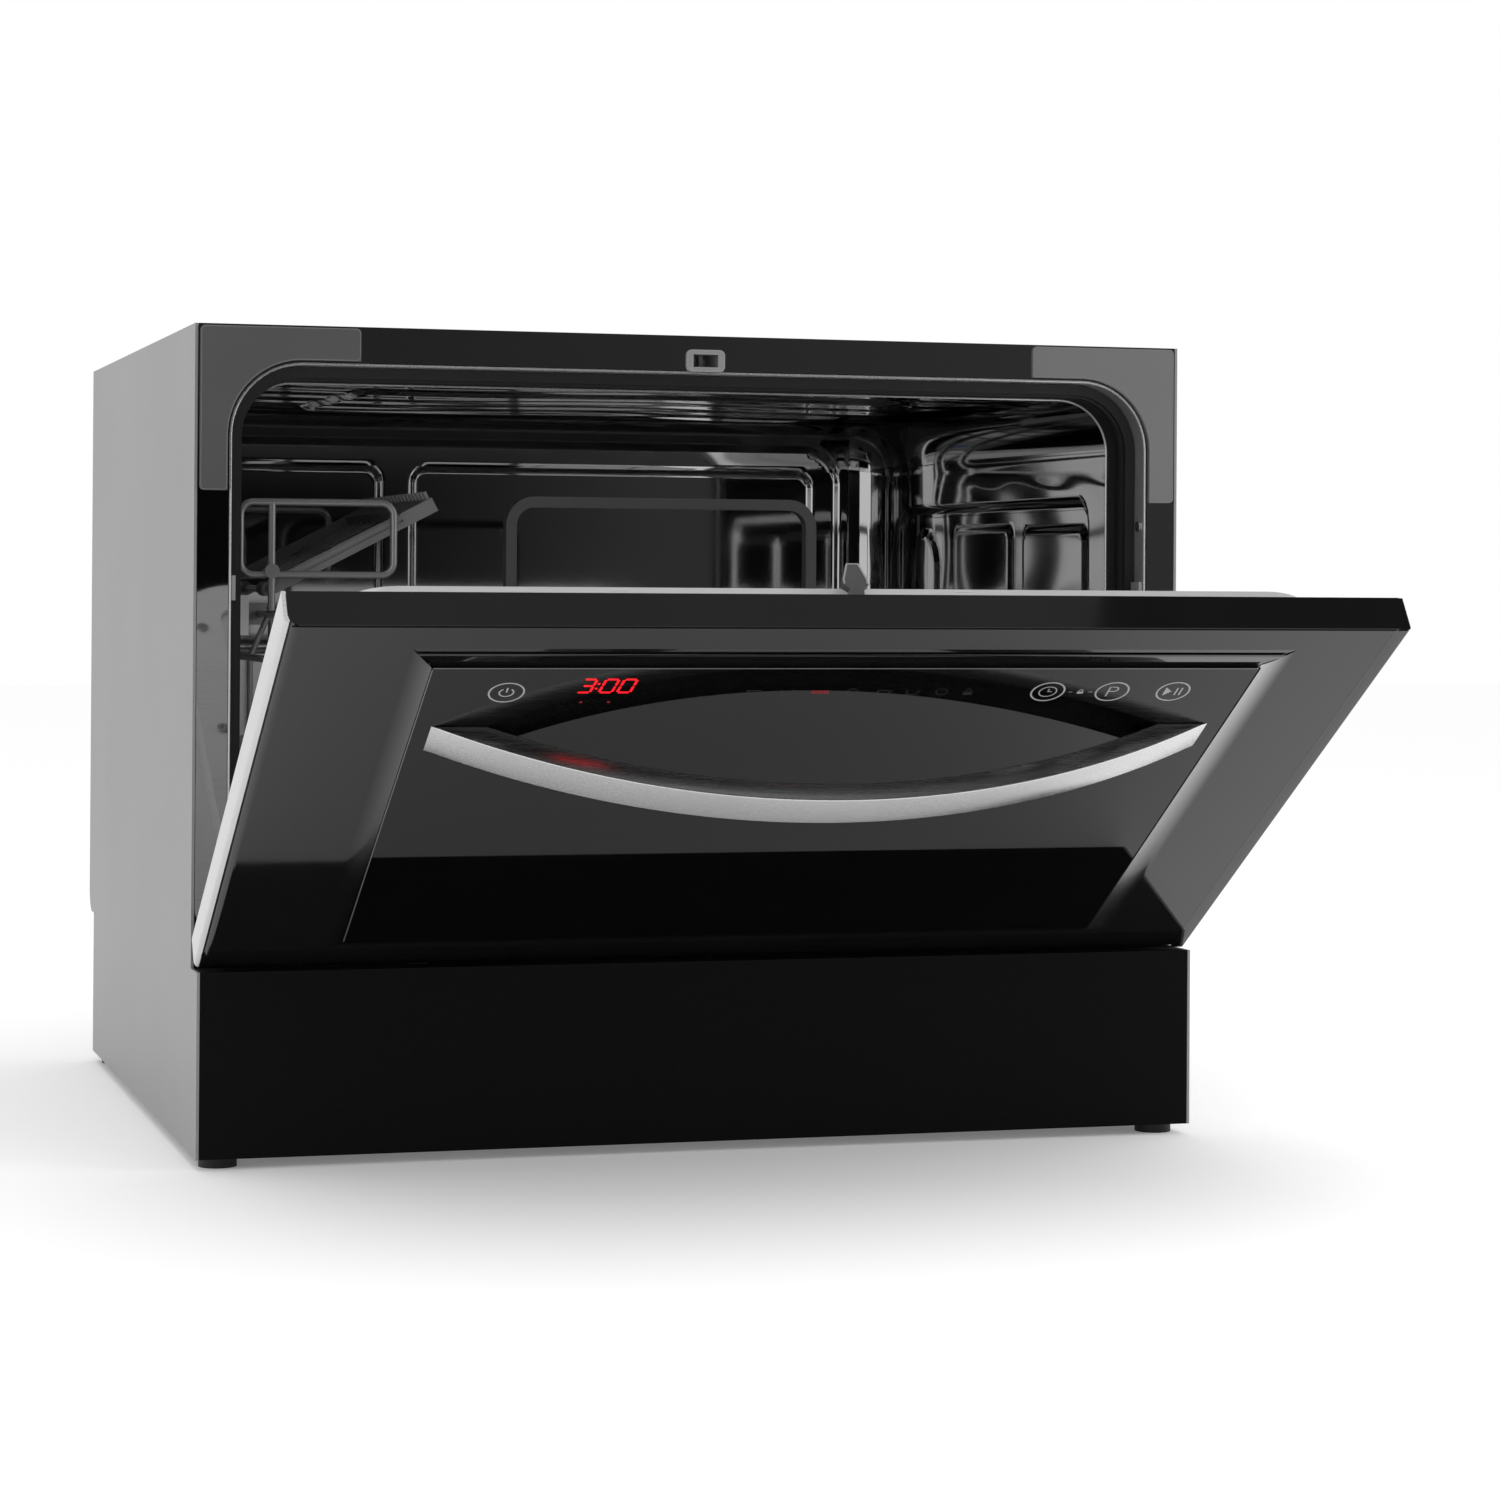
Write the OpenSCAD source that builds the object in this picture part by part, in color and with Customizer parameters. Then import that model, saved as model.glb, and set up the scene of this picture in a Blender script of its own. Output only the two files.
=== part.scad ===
// Countertop dishwasher, drawn with its drop-down door part open.
// Millimetres: X runs right, Y to the back, Z up. The counter is Z 0 and the footprint is centred.
// Front sizes are measured from the plane of the black front frame; door sizes are those of the closed door.

/* [Cabinet] */
// width over the side panels
cabinet_w = 550; // [480:1:620]
// depth from the front frame to the back
cabinet_d = 468; // [440:1:540]
// height from the counter to the top
cabinet_h = 437; // [425:1:470]
// wall of the kick panel
kick_t = 2.5; // [1.5:0.1:4]
// height of the feet under the base
foot_h = 6; // [3:0.5:15]
// radius of a foot
foot_r = 10; // [6:1:18]
// sheet thickness of the casing
skin_t = 1.5; // [0.8:0.1:3]
// lower rear edge of the side panels above the hose recess
notch_z = 93; // [70:1:100]
// depth of the hose recess at the back
notch_in = 24; // [15:1:40]
// rounding of the side panel over the hose recess
notch_r = 14; // [4:1:24]
// gap between casing panels
panel_gap = 0.3; // [0.1:0.1:1]

/* [Base] */
// height of the base tray's walls
tray_h = 22; // [14:1:40]
// wall of the base tray
tray_t = 2.5; // [1.5:0.1:4]
// height of the ribs on the tray floor
tray_rib_h = 7; // [3:1:12]

/* [Front frame] */
// width of the frame beside the opening
stile_w = 18; // [10:1:35]
// lower edge of the opening
opening_low = 118; // [118:1:130]
// height of the frame over the opening
head_h = 19; // [17:1:30]
// corner radius of the opening
opening_r = 39; // [30:1:60]
// thickness of the front frame
bezel_t = 10; // [6:1:16]
// depth of the steel rim behind the frame
rim_depth = 37; // [30:1:45]
// thickness of the steel rim
rim_t = 1.3; // [0.8:0.1:2]
// how far the door seal reaches into the opening
seal_in = 9; // [7:0.5:12]
// front of the door seal behind the frame
seal_front = 13.3; // [13.3:0.1:18]

/* [Corner plates] */
// length of a corner plate along the top
plate_arm = 84.2; // [60:0.1:120]
// length of a corner plate down the side
plate_leg = 85.8; // [60:0.1:120]
// thickness of a corner plate
plate_t = 1.5; // [0.8:0.1:2.5]
// black border around a corner plate
plate_edge = 0.9; // [0.8:0.1:4]

/* [Tub] */
// step from the opening's side to the tub's wall
tub_side = 7; // [6:0.5:14]
// step from the opening's top to the tub's top
tub_head = 7; // [6:0.5:12]
// inner floor of the tub
tub_floor = 125; // [124:1:132]
// room behind the tub
tub_rear = 36; // [28:1:60]
// corner radius of the tub seen from the front
tub_r = 32; // [20:1:50]
// rounding between the tub's walls and its back
tub_back_r = 22; // [10:1:26]
// sheet thickness of the tub
tub_t = 1.2; // [0.8:0.1:2]
// depth of one pressed step in the tub's walls
press_d = 3; // [1.5:0.1:4]
// radius of the well in the floor
well_r = 72; // [66:1:90]
// distance of the well and the spray arm behind the frame
well_y = 232; // [225:1:245]

/* [Door] */
// how far the door is open in this drawing
door_open = 57; // [0:1:90]
// thickness of the door's outer shell
door_t = 18; // [16:0.5:22]
// lower edge of the closed door
door_low = 105; // [105:0.5:108]
// gap from the closed door's top to the level of the cabinet top
door_top_gap = 0.5; // [0.2:0.1:3]
// wall of the door's outer shell
door_skin = 2.5; // [1.5:0.1:3.5]
// rounding of the door's side edges
door_r = 5; // [2:0.5:8]
// thickness of the silver strips on the door's sides
side_strip_t = 1.8; // [1:0.1:3]
// height of the separate strip along the door's foot
foot_strip_h = 13.5; // [12:0.5:15]
// hinge axis behind the door's front face
hinge_in = 7; // [6.5:0.5:9]
// height of the hinge axis
hinge_z = 113; // [112:0.5:115]
// radius of a hinge pin
hinge_pin_r = 2; // [1.5:0.1:2.4]
// running clearance of pins in their holes
run_gap = 0.06; // [0.02:0.01:0.1]
// distance of each hinge bracket from the machine's side
hinge_side = 27; // [25:0.5:40]
// thickness of a hinge bracket
bracket_t = 3; // [2:0.5:4]

/* [Touch panel] */
// distance of the touch panel from the machine's side
panel_side = 69; // [55:1:90]
// lower edge of the touch panel above the door's foot
panel_low = 24; // [20:1:40]
// distance of the touch panel from the door's upper edge
panel_head = 37.5; // [30:0.5:50]
// how far the touch panel sits right of the door's middle
panel_shift = 4; // [0:0.5:8]
// width of the sloped border at the sides
ramp_side = 12; // [6:1:20]
// width of the sloped border at the top
ramp_top = 18; // [8:1:24]
// depth of the recess that holds the touch panel
recess_d = 2.5; // [1.5:0.1:3.5]
// thickness of the touch panel
glass_t = 1.5; // [1:0.1:2.4]

/* [Handle] */
// step from the touch panel's side to the handle's end
handle_end = 9; // [4:0.5:30]
// distance of the handle under the touch panel's upper edge
handle_drop = 52.5; // [40:0.5:90]
// height of the handle's band
handle_h = 22; // [14:0.5:30]
// how far the bow stands out of the door's front face
handle_out = 41.3; // [30:0.1:60]
// thickness of the bow at its middle
handle_t = 9.7; // [6:0.1:16]
// length of the handle's solid ends
handle_root = 44.5; // [30:0.5:70]

/* [Door liner] */
// gap between the raised part and the opening's side
liner_side = 5; // [4:0.5:12]
// lower edge of the raised part
liner_low = 121; // [121:0.5:126]
// gap between the raised part and the opening's top
liner_head = 4; // [3.5:0.5:8]
// corner radius of the raised part
liner_r = 36; // [20:1:50]
// height of the raised part over the shell's back
liner_out = 17.7; // [12:0.1:18]
// sheet thickness of the liner
liner_t = 1; // [0.6:0.1:1.5]
// depth of the liner's middle field
liner_press = 3; // [1.5:0.1:5]
// border of the raised part around the middle field
liner_rim = 24; // [16:1:40]

/* [Dispenser] */
// middle of the dispenser from the door's middle
disp_x = 30; // [-60:1:80]
// middle of the dispenser, height on the closed door
disp_z = 240; // [220:1:300]
// width of the dispenser
disp_w = 132; // [110:1:150]
// height of the dispenser
disp_h = 98; // [86:1:120]
// width of the detergent cup
cup_w = 62; // [50:1:66]
// height of the detergent cup
cup_h = 60; // [50:1:66]
// radius of the rinse aid cap
cap_r = 13.5; // [10:0.5:15]

/* [Latch] */
// width of the latch housing
latch_w = 21.5; // [19:0.5:30]
// height of the latch housing's front
latch_h = 12; // [11.6:0.2:14]
// middle of the latch slot under the machine's top
latch_drop = 13.4; // [12:0.1:14]
// width of the latch slot
slot_w = 13.8; // [13.4:0.1:15]
// height of the latch slot
slot_h = 6.8; // [6.4:0.1:7.6]
// width of the tongue over its shoulders
tongue_w = 12.4; // [9:0.1:12.6]
// thickness of the tongue
tongue_t = 4; // [2.5:0.1:4.2]
// reach of the tongue behind the frame when the door is closed
tongue_in = 20; // [14:0.5:20]

/* [Rack] */
// gap between the rack and the tub's wall
rack_side = 14; // [13:0.5:30]
// depth of the rack
rack_d = 280; // [270:1:280]
// front of the rack behind the frame in this drawing
rack_front = 5; // [0:1:8]
// underside of the rack
rack_low = 158; // [156:1:160]
// distance of the rack's rim under the tub's top
rack_head = 126; // [120:1:140]
// radius of the frame wires
wire_r = 2; // [1.6:0.1:2.4]
// radius of the thin wires
thin_r = 1.6; // [1.2:0.1:1.8]
// height of the plate tines
tine_h = 45; // [30:1:60]
// pitch of the plate tines
tine_pitch = 24; // [18:1:30]

/* [Rails] */
// depth of a rack rail's channel from the tub wall
rail_w = 10; // [8:0.5:11]
// thickness of the rail's walls
rail_t = 1.8; // [1.2:0.1:2.4]
// start of the rails behind the frame
rail_y0 = 40; // [39:1:42]
// distance of the rails from the tub's back wall
rail_rear = 26; // [24:1:30]
// radius of a rack roller
roller_r = 8.6; // [7:0.1:9]
// width of a rack roller
roller_w = 6; // [4:0.1:7]
// distance between the rollers of one side
roller_gap = 116; // [90:1:120]
// distance of the rear rollers from the rack's rear
roller_end = 36; // [34:1:50]

/* [Cup shelf] */
// length of the cup shelf
shelf_l = 102.5; // [90:0.5:120]
// distance of the cup shelf from the rack's rear
shelf_end = 24; // [20:1:40]
// height of the cup shelf's edge
shelf_t = 8; // [6:0.5:14]
// slope of the cup shelf in this drawing
shelf_tilt = 27.3; // [20:0.1:40]
// distance of the cup shelf's pivot outside the rack's rim
shelf_out = 3; // [0:0.5:6]
// height of the cup shelf's pivot above the rack's rim
shelf_rise = 14.1; // [13:0.1:21]
// height of the guard's loops beside the cup shelf
guard_h = 39.3; // [30:0.1:44]
// reach of the guard's loops inside the shelf's pivot
guard_l = 66.6; // [50:0.1:80]

/* [Cutlery basket] */
// width of the cutlery basket
basket_w = 178; // [140:1:190]
// depth of the cutlery basket
basket_d = 72; // [50:1:80]
// height of the basket's walls
basket_h = 112; // [80:1:120]
// height of the basket with its handle
basket_top = 186; // [150:1:190]
// middle of the basket from the rack's middle
basket_x = -7; // [-20:1:20]
// front of the basket behind the rack's front
basket_y = 22; // [18:1:30]
// wall of the basket
basket_t = 2; // [1.4:0.1:3]
// thickness of the basket's handle
grip_t = 6; // [4:0.5:9]

/* [Spray arm and filter] */
// length of one wing of the spray arm
arm_l = 188; // [120:1:192]
// width of the spray arm
arm_w = 34; // [24:1:44]
// thickness of the spray arm
arm_t = 9; // [6:0.5:11]
// radius of the post that carries the spray arm
post_r = 9; // [6:0.5:12]
// gap under the spray arm
arm_gap = 9; // [7.5:0.5:11]
// radius of the filter cylinder
filter_r = 25; // [18:0.5:28]
// middle of the filter right of the post
filter_x = 41; // [38:0.5:44]
// radius of the salt container's cap
salt_r = 28; // [20:0.5:34]

/* [Hidden] */
$fn = 48;
half_w = cabinet_w / 2;
// the closed door stands so far ahead of the frame that its lower edges swing free
kick_out = hinge_in + norm([door_t - hinge_in, hinge_z - door_low]) + 2.4;
kick_top = hinge_z - norm([hinge_in, hinge_z - door_low]) - panel_gap;
front_y = -(cabinet_d - kick_out) / 2;
case_x = half_w - skin_t - panel_gap;
hinge_y = hinge_in - kick_out;
door_face = -kick_out;
door_back = door_face + door_t;
door_high = cabinet_h - door_top_gap;
strip_top = door_low + foot_strip_h;
face_x = half_w - side_strip_t - panel_gap;
recess_y = door_face + recess_d;
inner_y = recess_y + door_skin;
liner_face = door_back + liner_out;
field_face = liner_face - liner_press;
rim_in = panel_gap + rim_t;
opening_w = cabinet_w - 2 * stile_w;
opening_high = cabinet_h - head_h;
tub_w = opening_w - 2 * tub_side;
tub_high = opening_high - tub_head;
tub_d = cabinet_d - tub_rear;
panel_w = cabinet_w - 2 * panel_side;
panel_high = door_high - door_low - panel_head;
handle_w = panel_w - 2 * handle_end;
handle_low = panel_high - handle_drop - handle_h;
handle_gap_w = handle_w - 2 * handle_root;
liner_w = opening_w - 2 * liner_side;
liner_high = opening_high - liner_head;
hinge_x = half_w - hinge_side;
latch_z = cabinet_h - latch_drop;
rack_w = tub_w - 2 * rack_side;
rack_rim = tub_high - rack_head;
rail_y1 = tub_d - rail_rear;
roller_b = rack_d - roller_end;
roller_a = roller_b - roller_gap;
rail_z = rack_rim;
rail_x0 = tub_w / 2 - rail_w;
rail_half = roller_r + panel_gap + rail_t;
rim_half = rack_w / 2 - 15;
floor_z = rack_low + wire_r;
arm_z = tub_floor + arm_gap;
body_y1 = cabinet_d - notch_in;
shelf_y = 68;
shelf_w = rack_d - shelf_y - shelf_end;
shelf_x = rim_half + shelf_out;
shelf_z = rack_rim + shelf_rise;
cross_z = floor_z + wire_r + thin_r - 0.8;
basket_z = cross_z + thin_r + panel_gap;

// places what is measured from the front frame
module at_front() {
  translate([0, front_y, 0])
    children();
}

// swings what belongs to the door about the hinge axis
module at_door() {
  at_front()
    translate([0, hinge_y, hinge_z])
      rotate([door_open, 0, 0])
        translate([0, -hinge_y, -hinge_z])
          children();
}

// places what belongs to the rack
module at_rack() {
  translate([0, front_y + rack_front, 0])
    children();
}

// extrudes an X-Z outline from y0 to y1
module along_y(y0, y1) {
  translate([0, y1, 0])
    rotate([90, 0, 0])
      linear_extrude(height = y1 - y0)
        children();
}

// extrudes a Y-Z outline from x0 to x1
module along_x(x0, x1) {
  translate([x0, 0, 0])
    rotate([90, 0, 90])
      linear_extrude(height = x1 - x0)
        children();
}

// extrudes an X-Y outline from z0 to z1
module along_z(z0, z1) {
  translate([0, 0, z0])
    linear_extrude(height = z1 - z0)
      children();
}

// rounded rectangle between two corners
module round_rect(x0, y0, x1, y1, r) {
  translate([x0 + r, y0])
    square([x1 - x0 - 2 * r, y1 - y0]);
  translate([x0, y0 + r])
    square([x1 - x0, y1 - y0 - 2 * r]);
  for (x = [x0 + r, x1 - r])
    for (y = [y0 + r, y1 - r])
      translate([x, y])
        circle(r);
}

// outline of the front opening, grown or shrunk
module opening_2d(grow) {
  round_rect(-opening_w / 2 - grow, opening_low - grow, opening_w / 2 + grow,
    opening_high + grow, opening_r + grow);
}

// outline of the tub seen from the front
module tub_2d(grow) {
  round_rect(-tub_w / 2 - grow, tub_floor - grow, tub_w / 2 + grow, tub_high + grow, tub_r + grow);
}

// outline of the liner's raised part
module liner_2d(grow) {
  round_rect(-liner_w / 2 - grow, liner_low - grow, liner_w / 2 + grow, liner_high + grow,
    liner_r + grow);
}

// straight wire between two points
module wire(a, b, r) {
  v = b - a;
  l = norm(v);
  translate(a)
    rotate([0, acos(v[2] / l), atan2(v[1], v[0])])
      cylinder(h = l, r = r);
}

// closed wire loop lying flat, with rounded corners
module wire_loop(x, y0, y1, r, bend) {
  for (s = [-1, 1])
    wire([s * x, y0 + bend, 0], [s * x, y1 - bend, 0], r);
  for (y = [y0, y1])
    wire([bend - x, y, 0], [x - bend, y, 0], r);
  for (c = [[x - bend, y1 - bend, 0], [bend - x, y1 - bend, 90], [bend - x, y0 + bend, 180],
    [x - bend, y0 + bend, 270]])
    translate([c[0], c[1], 0])
      rotate([0, 0, c[2]])
        rotate_extrude(angle = 90)
          translate([bend, 0])
            circle(r);
}

// mirrors a left piece for the right side
module on_side(s) {
  if (s > 0)
    children();
  else
    mirror([1, 0, 0])
      children();
}

module base_tray() {
  y0 = kick_t - kick_out + panel_gap;
  y1 = body_y1 - skin_t - panel_gap;
  color("#2b2c2e")
    at_front() {
      difference() {
        along_z(foot_h, foot_h + tray_h)
          round_rect(-case_x, y0, case_x, y1, 6);
        along_z(foot_h + tray_t, foot_h + tray_h + 1)
          round_rect(tray_t - case_x, y0 + tray_t, case_x - tray_t, y1 - tray_t, 4);
      }
      for (y = [-160, -72, 39])
        translate([tray_t / 2 - case_x, well_y + y, foot_h + tray_t / 2])
          cube([2 * case_x - tray_t, 2, tray_rib_h + tray_t / 2]);
    }
}

module feet() {
  color("#1c1c1e")
    at_front()
      for (x = [-1, 1])
        for (y = [foot_r - kick_out + 9, body_y1 - foot_r - 6])
          translate([x * (half_w - foot_r - 4), y, 0])
            difference() {
              cylinder(h = foot_h, r = foot_r);
              translate([0, 0, -1])
                cylinder(h = 2.2, r = foot_r * 0.6);
            }
}

module kick_panel() {
  color("#161718")
    at_front()
      along_x(-case_x, case_x)
        difference() {
          union() {
            translate([-kick_out, foot_h])
              square([kick_t, kick_top - foot_h]);
            translate([-kick_out, kick_top - kick_t])
              square([kick_out - panel_gap, kick_t]);
            translate([-kick_out, kick_top - 2 * kick_t])
              square([2 * kick_t, 2 * kick_t]);
          }
          translate([-kick_out + 2 * kick_t, kick_top - 2 * kick_t])
            circle(kick_t);
        }
}

// outline of a side panel, front to back
module side_2d() {
  difference() {
    union() {
      translate([0, notch_z])
        square([cabinet_d, cabinet_h - notch_z]);
      translate([-kick_out, foot_h])
        square([kick_out + body_y1, kick_top - foot_h]);
    }
    difference() {
      translate([cabinet_d - notch_r, notch_z - 1])
        square([notch_r + 1, notch_r + 1]);
      translate([cabinet_d - notch_r, notch_z + notch_r])
        circle(notch_r);
    }
  }
}

module side_panel(s) {
  color("#a3a4a6")
    at_front()
      on_side(s)
        along_x(half_w - skin_t, half_w)
          side_2d();
}

module side_panel_left() {
  side_panel(-1);
}

module side_panel_right() {
  side_panel(1);
}

module top_panel() {
  y0 = bezel_t + panel_gap;
  color("#a3a4a6")
    at_front()
      difference() {
        translate([-case_x, y0, cabinet_h - 14])
          cube([2 * case_x, cabinet_d - y0, 14]);
        translate([skin_t - case_x, y0 - 1, cabinet_h - 15])
          cube([2 * (case_x - skin_t), cabinet_d - y0 + 2, 15 - skin_t]);
      }
}

module rear_panel() {
  x = case_x;
  z1 = cabinet_h - skin_t - panel_gap;
  z0 = foot_h + tray_h + panel_gap;
  color("#8f9092")
    at_front()
      difference() {
        union() {
          translate([skin_t + panel_gap - x, cabinet_d - skin_t, notch_z + notch_r])
            cube([2 * (x - skin_t - panel_gap), skin_t, z1 - notch_z - notch_r]);
          along_x(-x, x)
            difference() {
              union() {
                intersection() {
                  translate([cabinet_d - notch_r, notch_z + notch_r])
                    circle(notch_r);
                  translate([cabinet_d - notch_r, notch_z])
                    square([notch_r, notch_r]);
                }
                translate([body_y1 - skin_t, notch_z])
                  square([notch_in - notch_r + skin_t, skin_t]);
                translate([body_y1 - skin_t, z0])
                  square([skin_t, notch_z - z0 + skin_t]);
              }
              translate([cabinet_d - notch_r, notch_z + notch_r])
                circle(notch_r - skin_t);
            }
        }
        for (x = [valve_x, spigot_x])
          translate([x, body_y1 - skin_t - 1, pipe_z])
            rotate([-90, 0, 0])
              cylinder(h = skin_t + 2, r = (x == valve_x ? valve_r : spigot_r) + panel_gap);
        translate([gland_x, body_y1 - skin_t - 1, pipe_z])
          rotate([-90, 0, 0])
            cylinder(h = skin_t + 2, r = gland_r + panel_gap);
        for (x = [-3 : 3])
          for (z = [0, 1])
            translate([x * 60 - 20, cabinet_d - skin_t - 1, cabinet_h - 107 + z * 22])
              cube([40, skin_t + 2, 4]);
      }
}

module front_frame() {
  color("#0c0d0f")
    at_front()
      difference() {
        translate([-case_x, 0, kick_top + panel_gap])
          cube([2 * case_x, bezel_t, cabinet_h - kick_top - panel_gap]);
        along_y(-1, bezel_t + 1)
          opening_2d(0);
        translate([-latch_w / 2 + 0.7 - panel_gap, -1, latch_z - slot_h / 2 - 1 - panel_gap])
          cube([latch_w - 1.4 + 2 * panel_gap, bezel_t + 2, slot_h + 2 + 2 * panel_gap]);
      }
}

module corner_plate(s) {
  x1 = case_x - plate_edge;
  z1 = cabinet_h - plate_edge;
  color("#6e7073")
    at_front()
      on_side(s)
        along_y(-plate_t, 0)
          difference() {
            round_rect(x1 - plate_arm, z1 - plate_leg, x1, z1, 2.5);
            opening_2d(plate_edge);
          }
}

module corner_plate_left() {
  corner_plate(-1);
}

module corner_plate_right() {
  corner_plate(1);
}

// sizes of the latch housing behind its front
latch_d = 32;
// the tongue sits low in its slot, because it rises as the door swings
tongue_drop = 0.6;
plunger_r = 2.2;

module latch_housing() {
  w = latch_w - 1.4;
  h = slot_h + 2;
  color("#9b9da0")
    at_front()
      difference() {
        union() {
          along_y(-1.2, 0)
            round_rect(-latch_w / 2, latch_z - latch_h / 2, latch_w / 2, latch_z + latch_h / 2, 3);
          translate([-w / 2, -0.1, latch_z - h / 2])
            cube([w, latch_d + 0.1, h]);
        }
        translate([-slot_w / 2, -2, latch_z - slot_h / 2])
          cube([slot_w, latch_d - 4, slot_h]);
        translate([-slot_w / 4, latch_d - 7, latch_z])
          rotate([-90, 0, 0])
            cylinder(h = 9, r = plunger_r + run_gap);
      }
  color("#9b9da0")
    at_front()
      translate([slot_w * 0.16, tongue_in + 1, latch_z - slot_h / 2 - 0.2])
        cube([2, 2, slot_h + 0.4]);
}

module latch_plunger() {
  color("#d8d9da")
    at_front()
      translate([-slot_w / 4, tongue_in + 0.5, latch_z])
        rotate([-90, 0, 0]) {
          cylinder(h = latch_d - tongue_in + 2, r = plunger_r);
          cylinder(h = 2, r = plunger_r + 0.8);
        }
}

// the tub's hollow with rounded edges, grown outwards
module tub_form(grow, y0) {
  intersection() {
    along_y(y0, tub_d + grow)
      tub_2d(grow);
    along_x(-tub_w, tub_w)
      union() {
        round_rect(y0 - 3 * tub_back_r, tub_floor - grow, tub_d + grow, tub_high + grow,
          tub_back_r + grow);
      }
    along_z(tub_floor - 10, tub_high + 10)
      round_rect(-tub_w / 2 - grow, y0 - 3 * tub_back_r, tub_w / 2 + grow, tub_d + grow,
        tub_back_r + grow);
  }
}

// pressed fields in the tub's back and side walls
module tub_fields(grow) {
  y1 = tub_d - tub_back_r - 2;
  along_y(tub_d - 10, tub_d + press_d + grow)
    round_rect(-tub_w / 2 + 34 - grow, 150 - grow, tub_w / 2 - 34 + grow,
      tub_high - 15 + grow, 26);
  along_y(tub_d - 10, tub_d + 2 * press_d + grow) {
    round_rect(50 - tub_w / 2 - grow, 162 - grow, -93 + grow, tub_high - 31 + grow, 12);
    round_rect(-76 - grow, 162 - grow, tub_w / 2 - 52 + grow, tub_high - 31 + grow, 12);
  }
  for (s = [-1, 1])
    on_side(s) {
      along_x(tub_w / 2 - 5, tub_w / 2 + press_d + grow)
        round_rect(70 - grow, 160 - grow, y1 + grow, tub_high - 56 + grow, 16);
      along_x(tub_w / 2 - 5, tub_w / 2 + press_d + 2 + grow) {
        round_rect(77 - grow, 170 - grow, tub_d - 250 + grow, tub_high - 72 + grow, 8);
        round_rect(tub_d - 233 - grow, 170 - grow, tub_d - 126 + grow, tub_high - 70 + grow, 8);
        round_rect(tub_d - 98 - grow, 170 - grow, tub_d - 44 + grow, tub_high - 72 + grow, 26);
      }
    }
}

module tub() {
  y0 = rim_depth;
  color("#b9bbbe")
    at_front() {
      difference() {
        union() {
          along_y(0.8, rim_depth + tub_t)
            opening_2d(-panel_gap);
          tub_form(tub_t, y0);
          tub_fields(tub_t);
        }
        along_y(0, rim_depth)
          opening_2d(-rim_in);
        tub_form(0, y0 - 1);
        tub_fields(0);
        translate([0, well_y, tub_floor - 5])
          cylinder(h = 10, r = well_r);
        translate([salt_x, salt_y, tub_floor - 5])
          cylinder(h = 10, r = salt_r + 6);
      }
    }
}

module door_seal() {
  color("#17181a")
    at_front()
      difference() {
        along_y(seal_front, rim_depth - panel_gap)
          opening_2d(-rim_in - panel_gap);
        along_y(seal_front - 1, rim_depth)
          opening_2d(-seal_in);
        along_y(seal_front - 1, seal_front + 3)
          opening_2d(1.5 - seal_in);
        along_y(seal_front + 7, seal_front + 13)
          opening_2d(2.5 - seal_in);
      }
}

module rim_clips() {
  color("#8d8f92")
    at_front()
      for (s = [-1, 1])
        on_side(s)
          translate([opening_w / 2 - rim_in - panel_gap - 2.1, 1.2, opening_high - 125])
            cube([2.1, seal_front - 1.8, 13]);
}

module rack_rail(s) {
  x1 = tub_w / 2 - panel_gap;
  color("#8b8d90")
    at_front()
      on_side(s)
        difference() {
          union() {
            translate([rail_x0, rail_y0, rail_z - rail_half])
              cube([x1 - rail_x0, rail_y1 - rail_y0, 2 * rail_half]);
            for (y = [tub_d - 241.5, tub_d - 112])
              translate([x1 - 1, y - 5, rail_z - 6])
                cube([press_d + 1, 10, 12]);
          }
          translate([rail_x0 - 1, rail_y0 + 2, rail_z - rail_half + rail_t])
            cube([x1 - rail_x0 - rail_t + 1, rail_y1 - rail_y0 - 4, 2 * (rail_half - rail_t)]);
        }
}

module rack_rail_left() {
  rack_rail(-1);
}

module rack_rail_right() {
  rack_rail(1);
}

// outline of a hinge bracket: eye, neck and foot
module bracket_2d() {
  difference() {
    union() {
      translate([hinge_y, hinge_z])
        circle(eye_r);
      translate([hinge_y, hinge_z - 3])
        square([-hinge_y, 6]);
    }
    translate([hinge_y, hinge_z])
      circle(hinge_pin_r + run_gap);
  }
}

eye_r = hinge_in - door_skin - 0.8;

module hinge_bracket(s) {
  color("#aeb0b3")
    at_front()
      on_side(s) {
        along_x(hinge_x - bracket_t / 2, hinge_x + bracket_t / 2)
          bracket_2d();
        translate([hinge_x - 8, -1.5, kick_top + 1.5])
          cube([16, 1.5, opening_low - kick_top - 2]);
      }
}

module hinge_bracket_left() {
  hinge_bracket(-1);
}

module hinge_bracket_right() {
  hinge_bracket(1);
}

// sizes of the wet parts under the tub
sump_h = 62;
sump_t = 2.5;
pipe_r = 11;
pipe_z = 46;
valve_x = half_w - 85;
valve_r = 13.2;
// undercut at the foot of both hose sockets
relief = 0.6;
valve_out = 15;
spigot_x = half_w - 145;
spigot_r = 9.5;
spigot_out = 17;
gland_x = 85 - half_w;
gland_r = 8;
salt_x = 90 - half_w;
salt_y = 110;
pump_x = half_w - 117;
// the pump's outlet and the heater behind it, from the pump's middle
outlet_in = 22;
pump_r = 36;
floor_under = tub_floor - tub_t - panel_gap;
tray_top = foot_h + tray_t + panel_gap;

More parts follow.
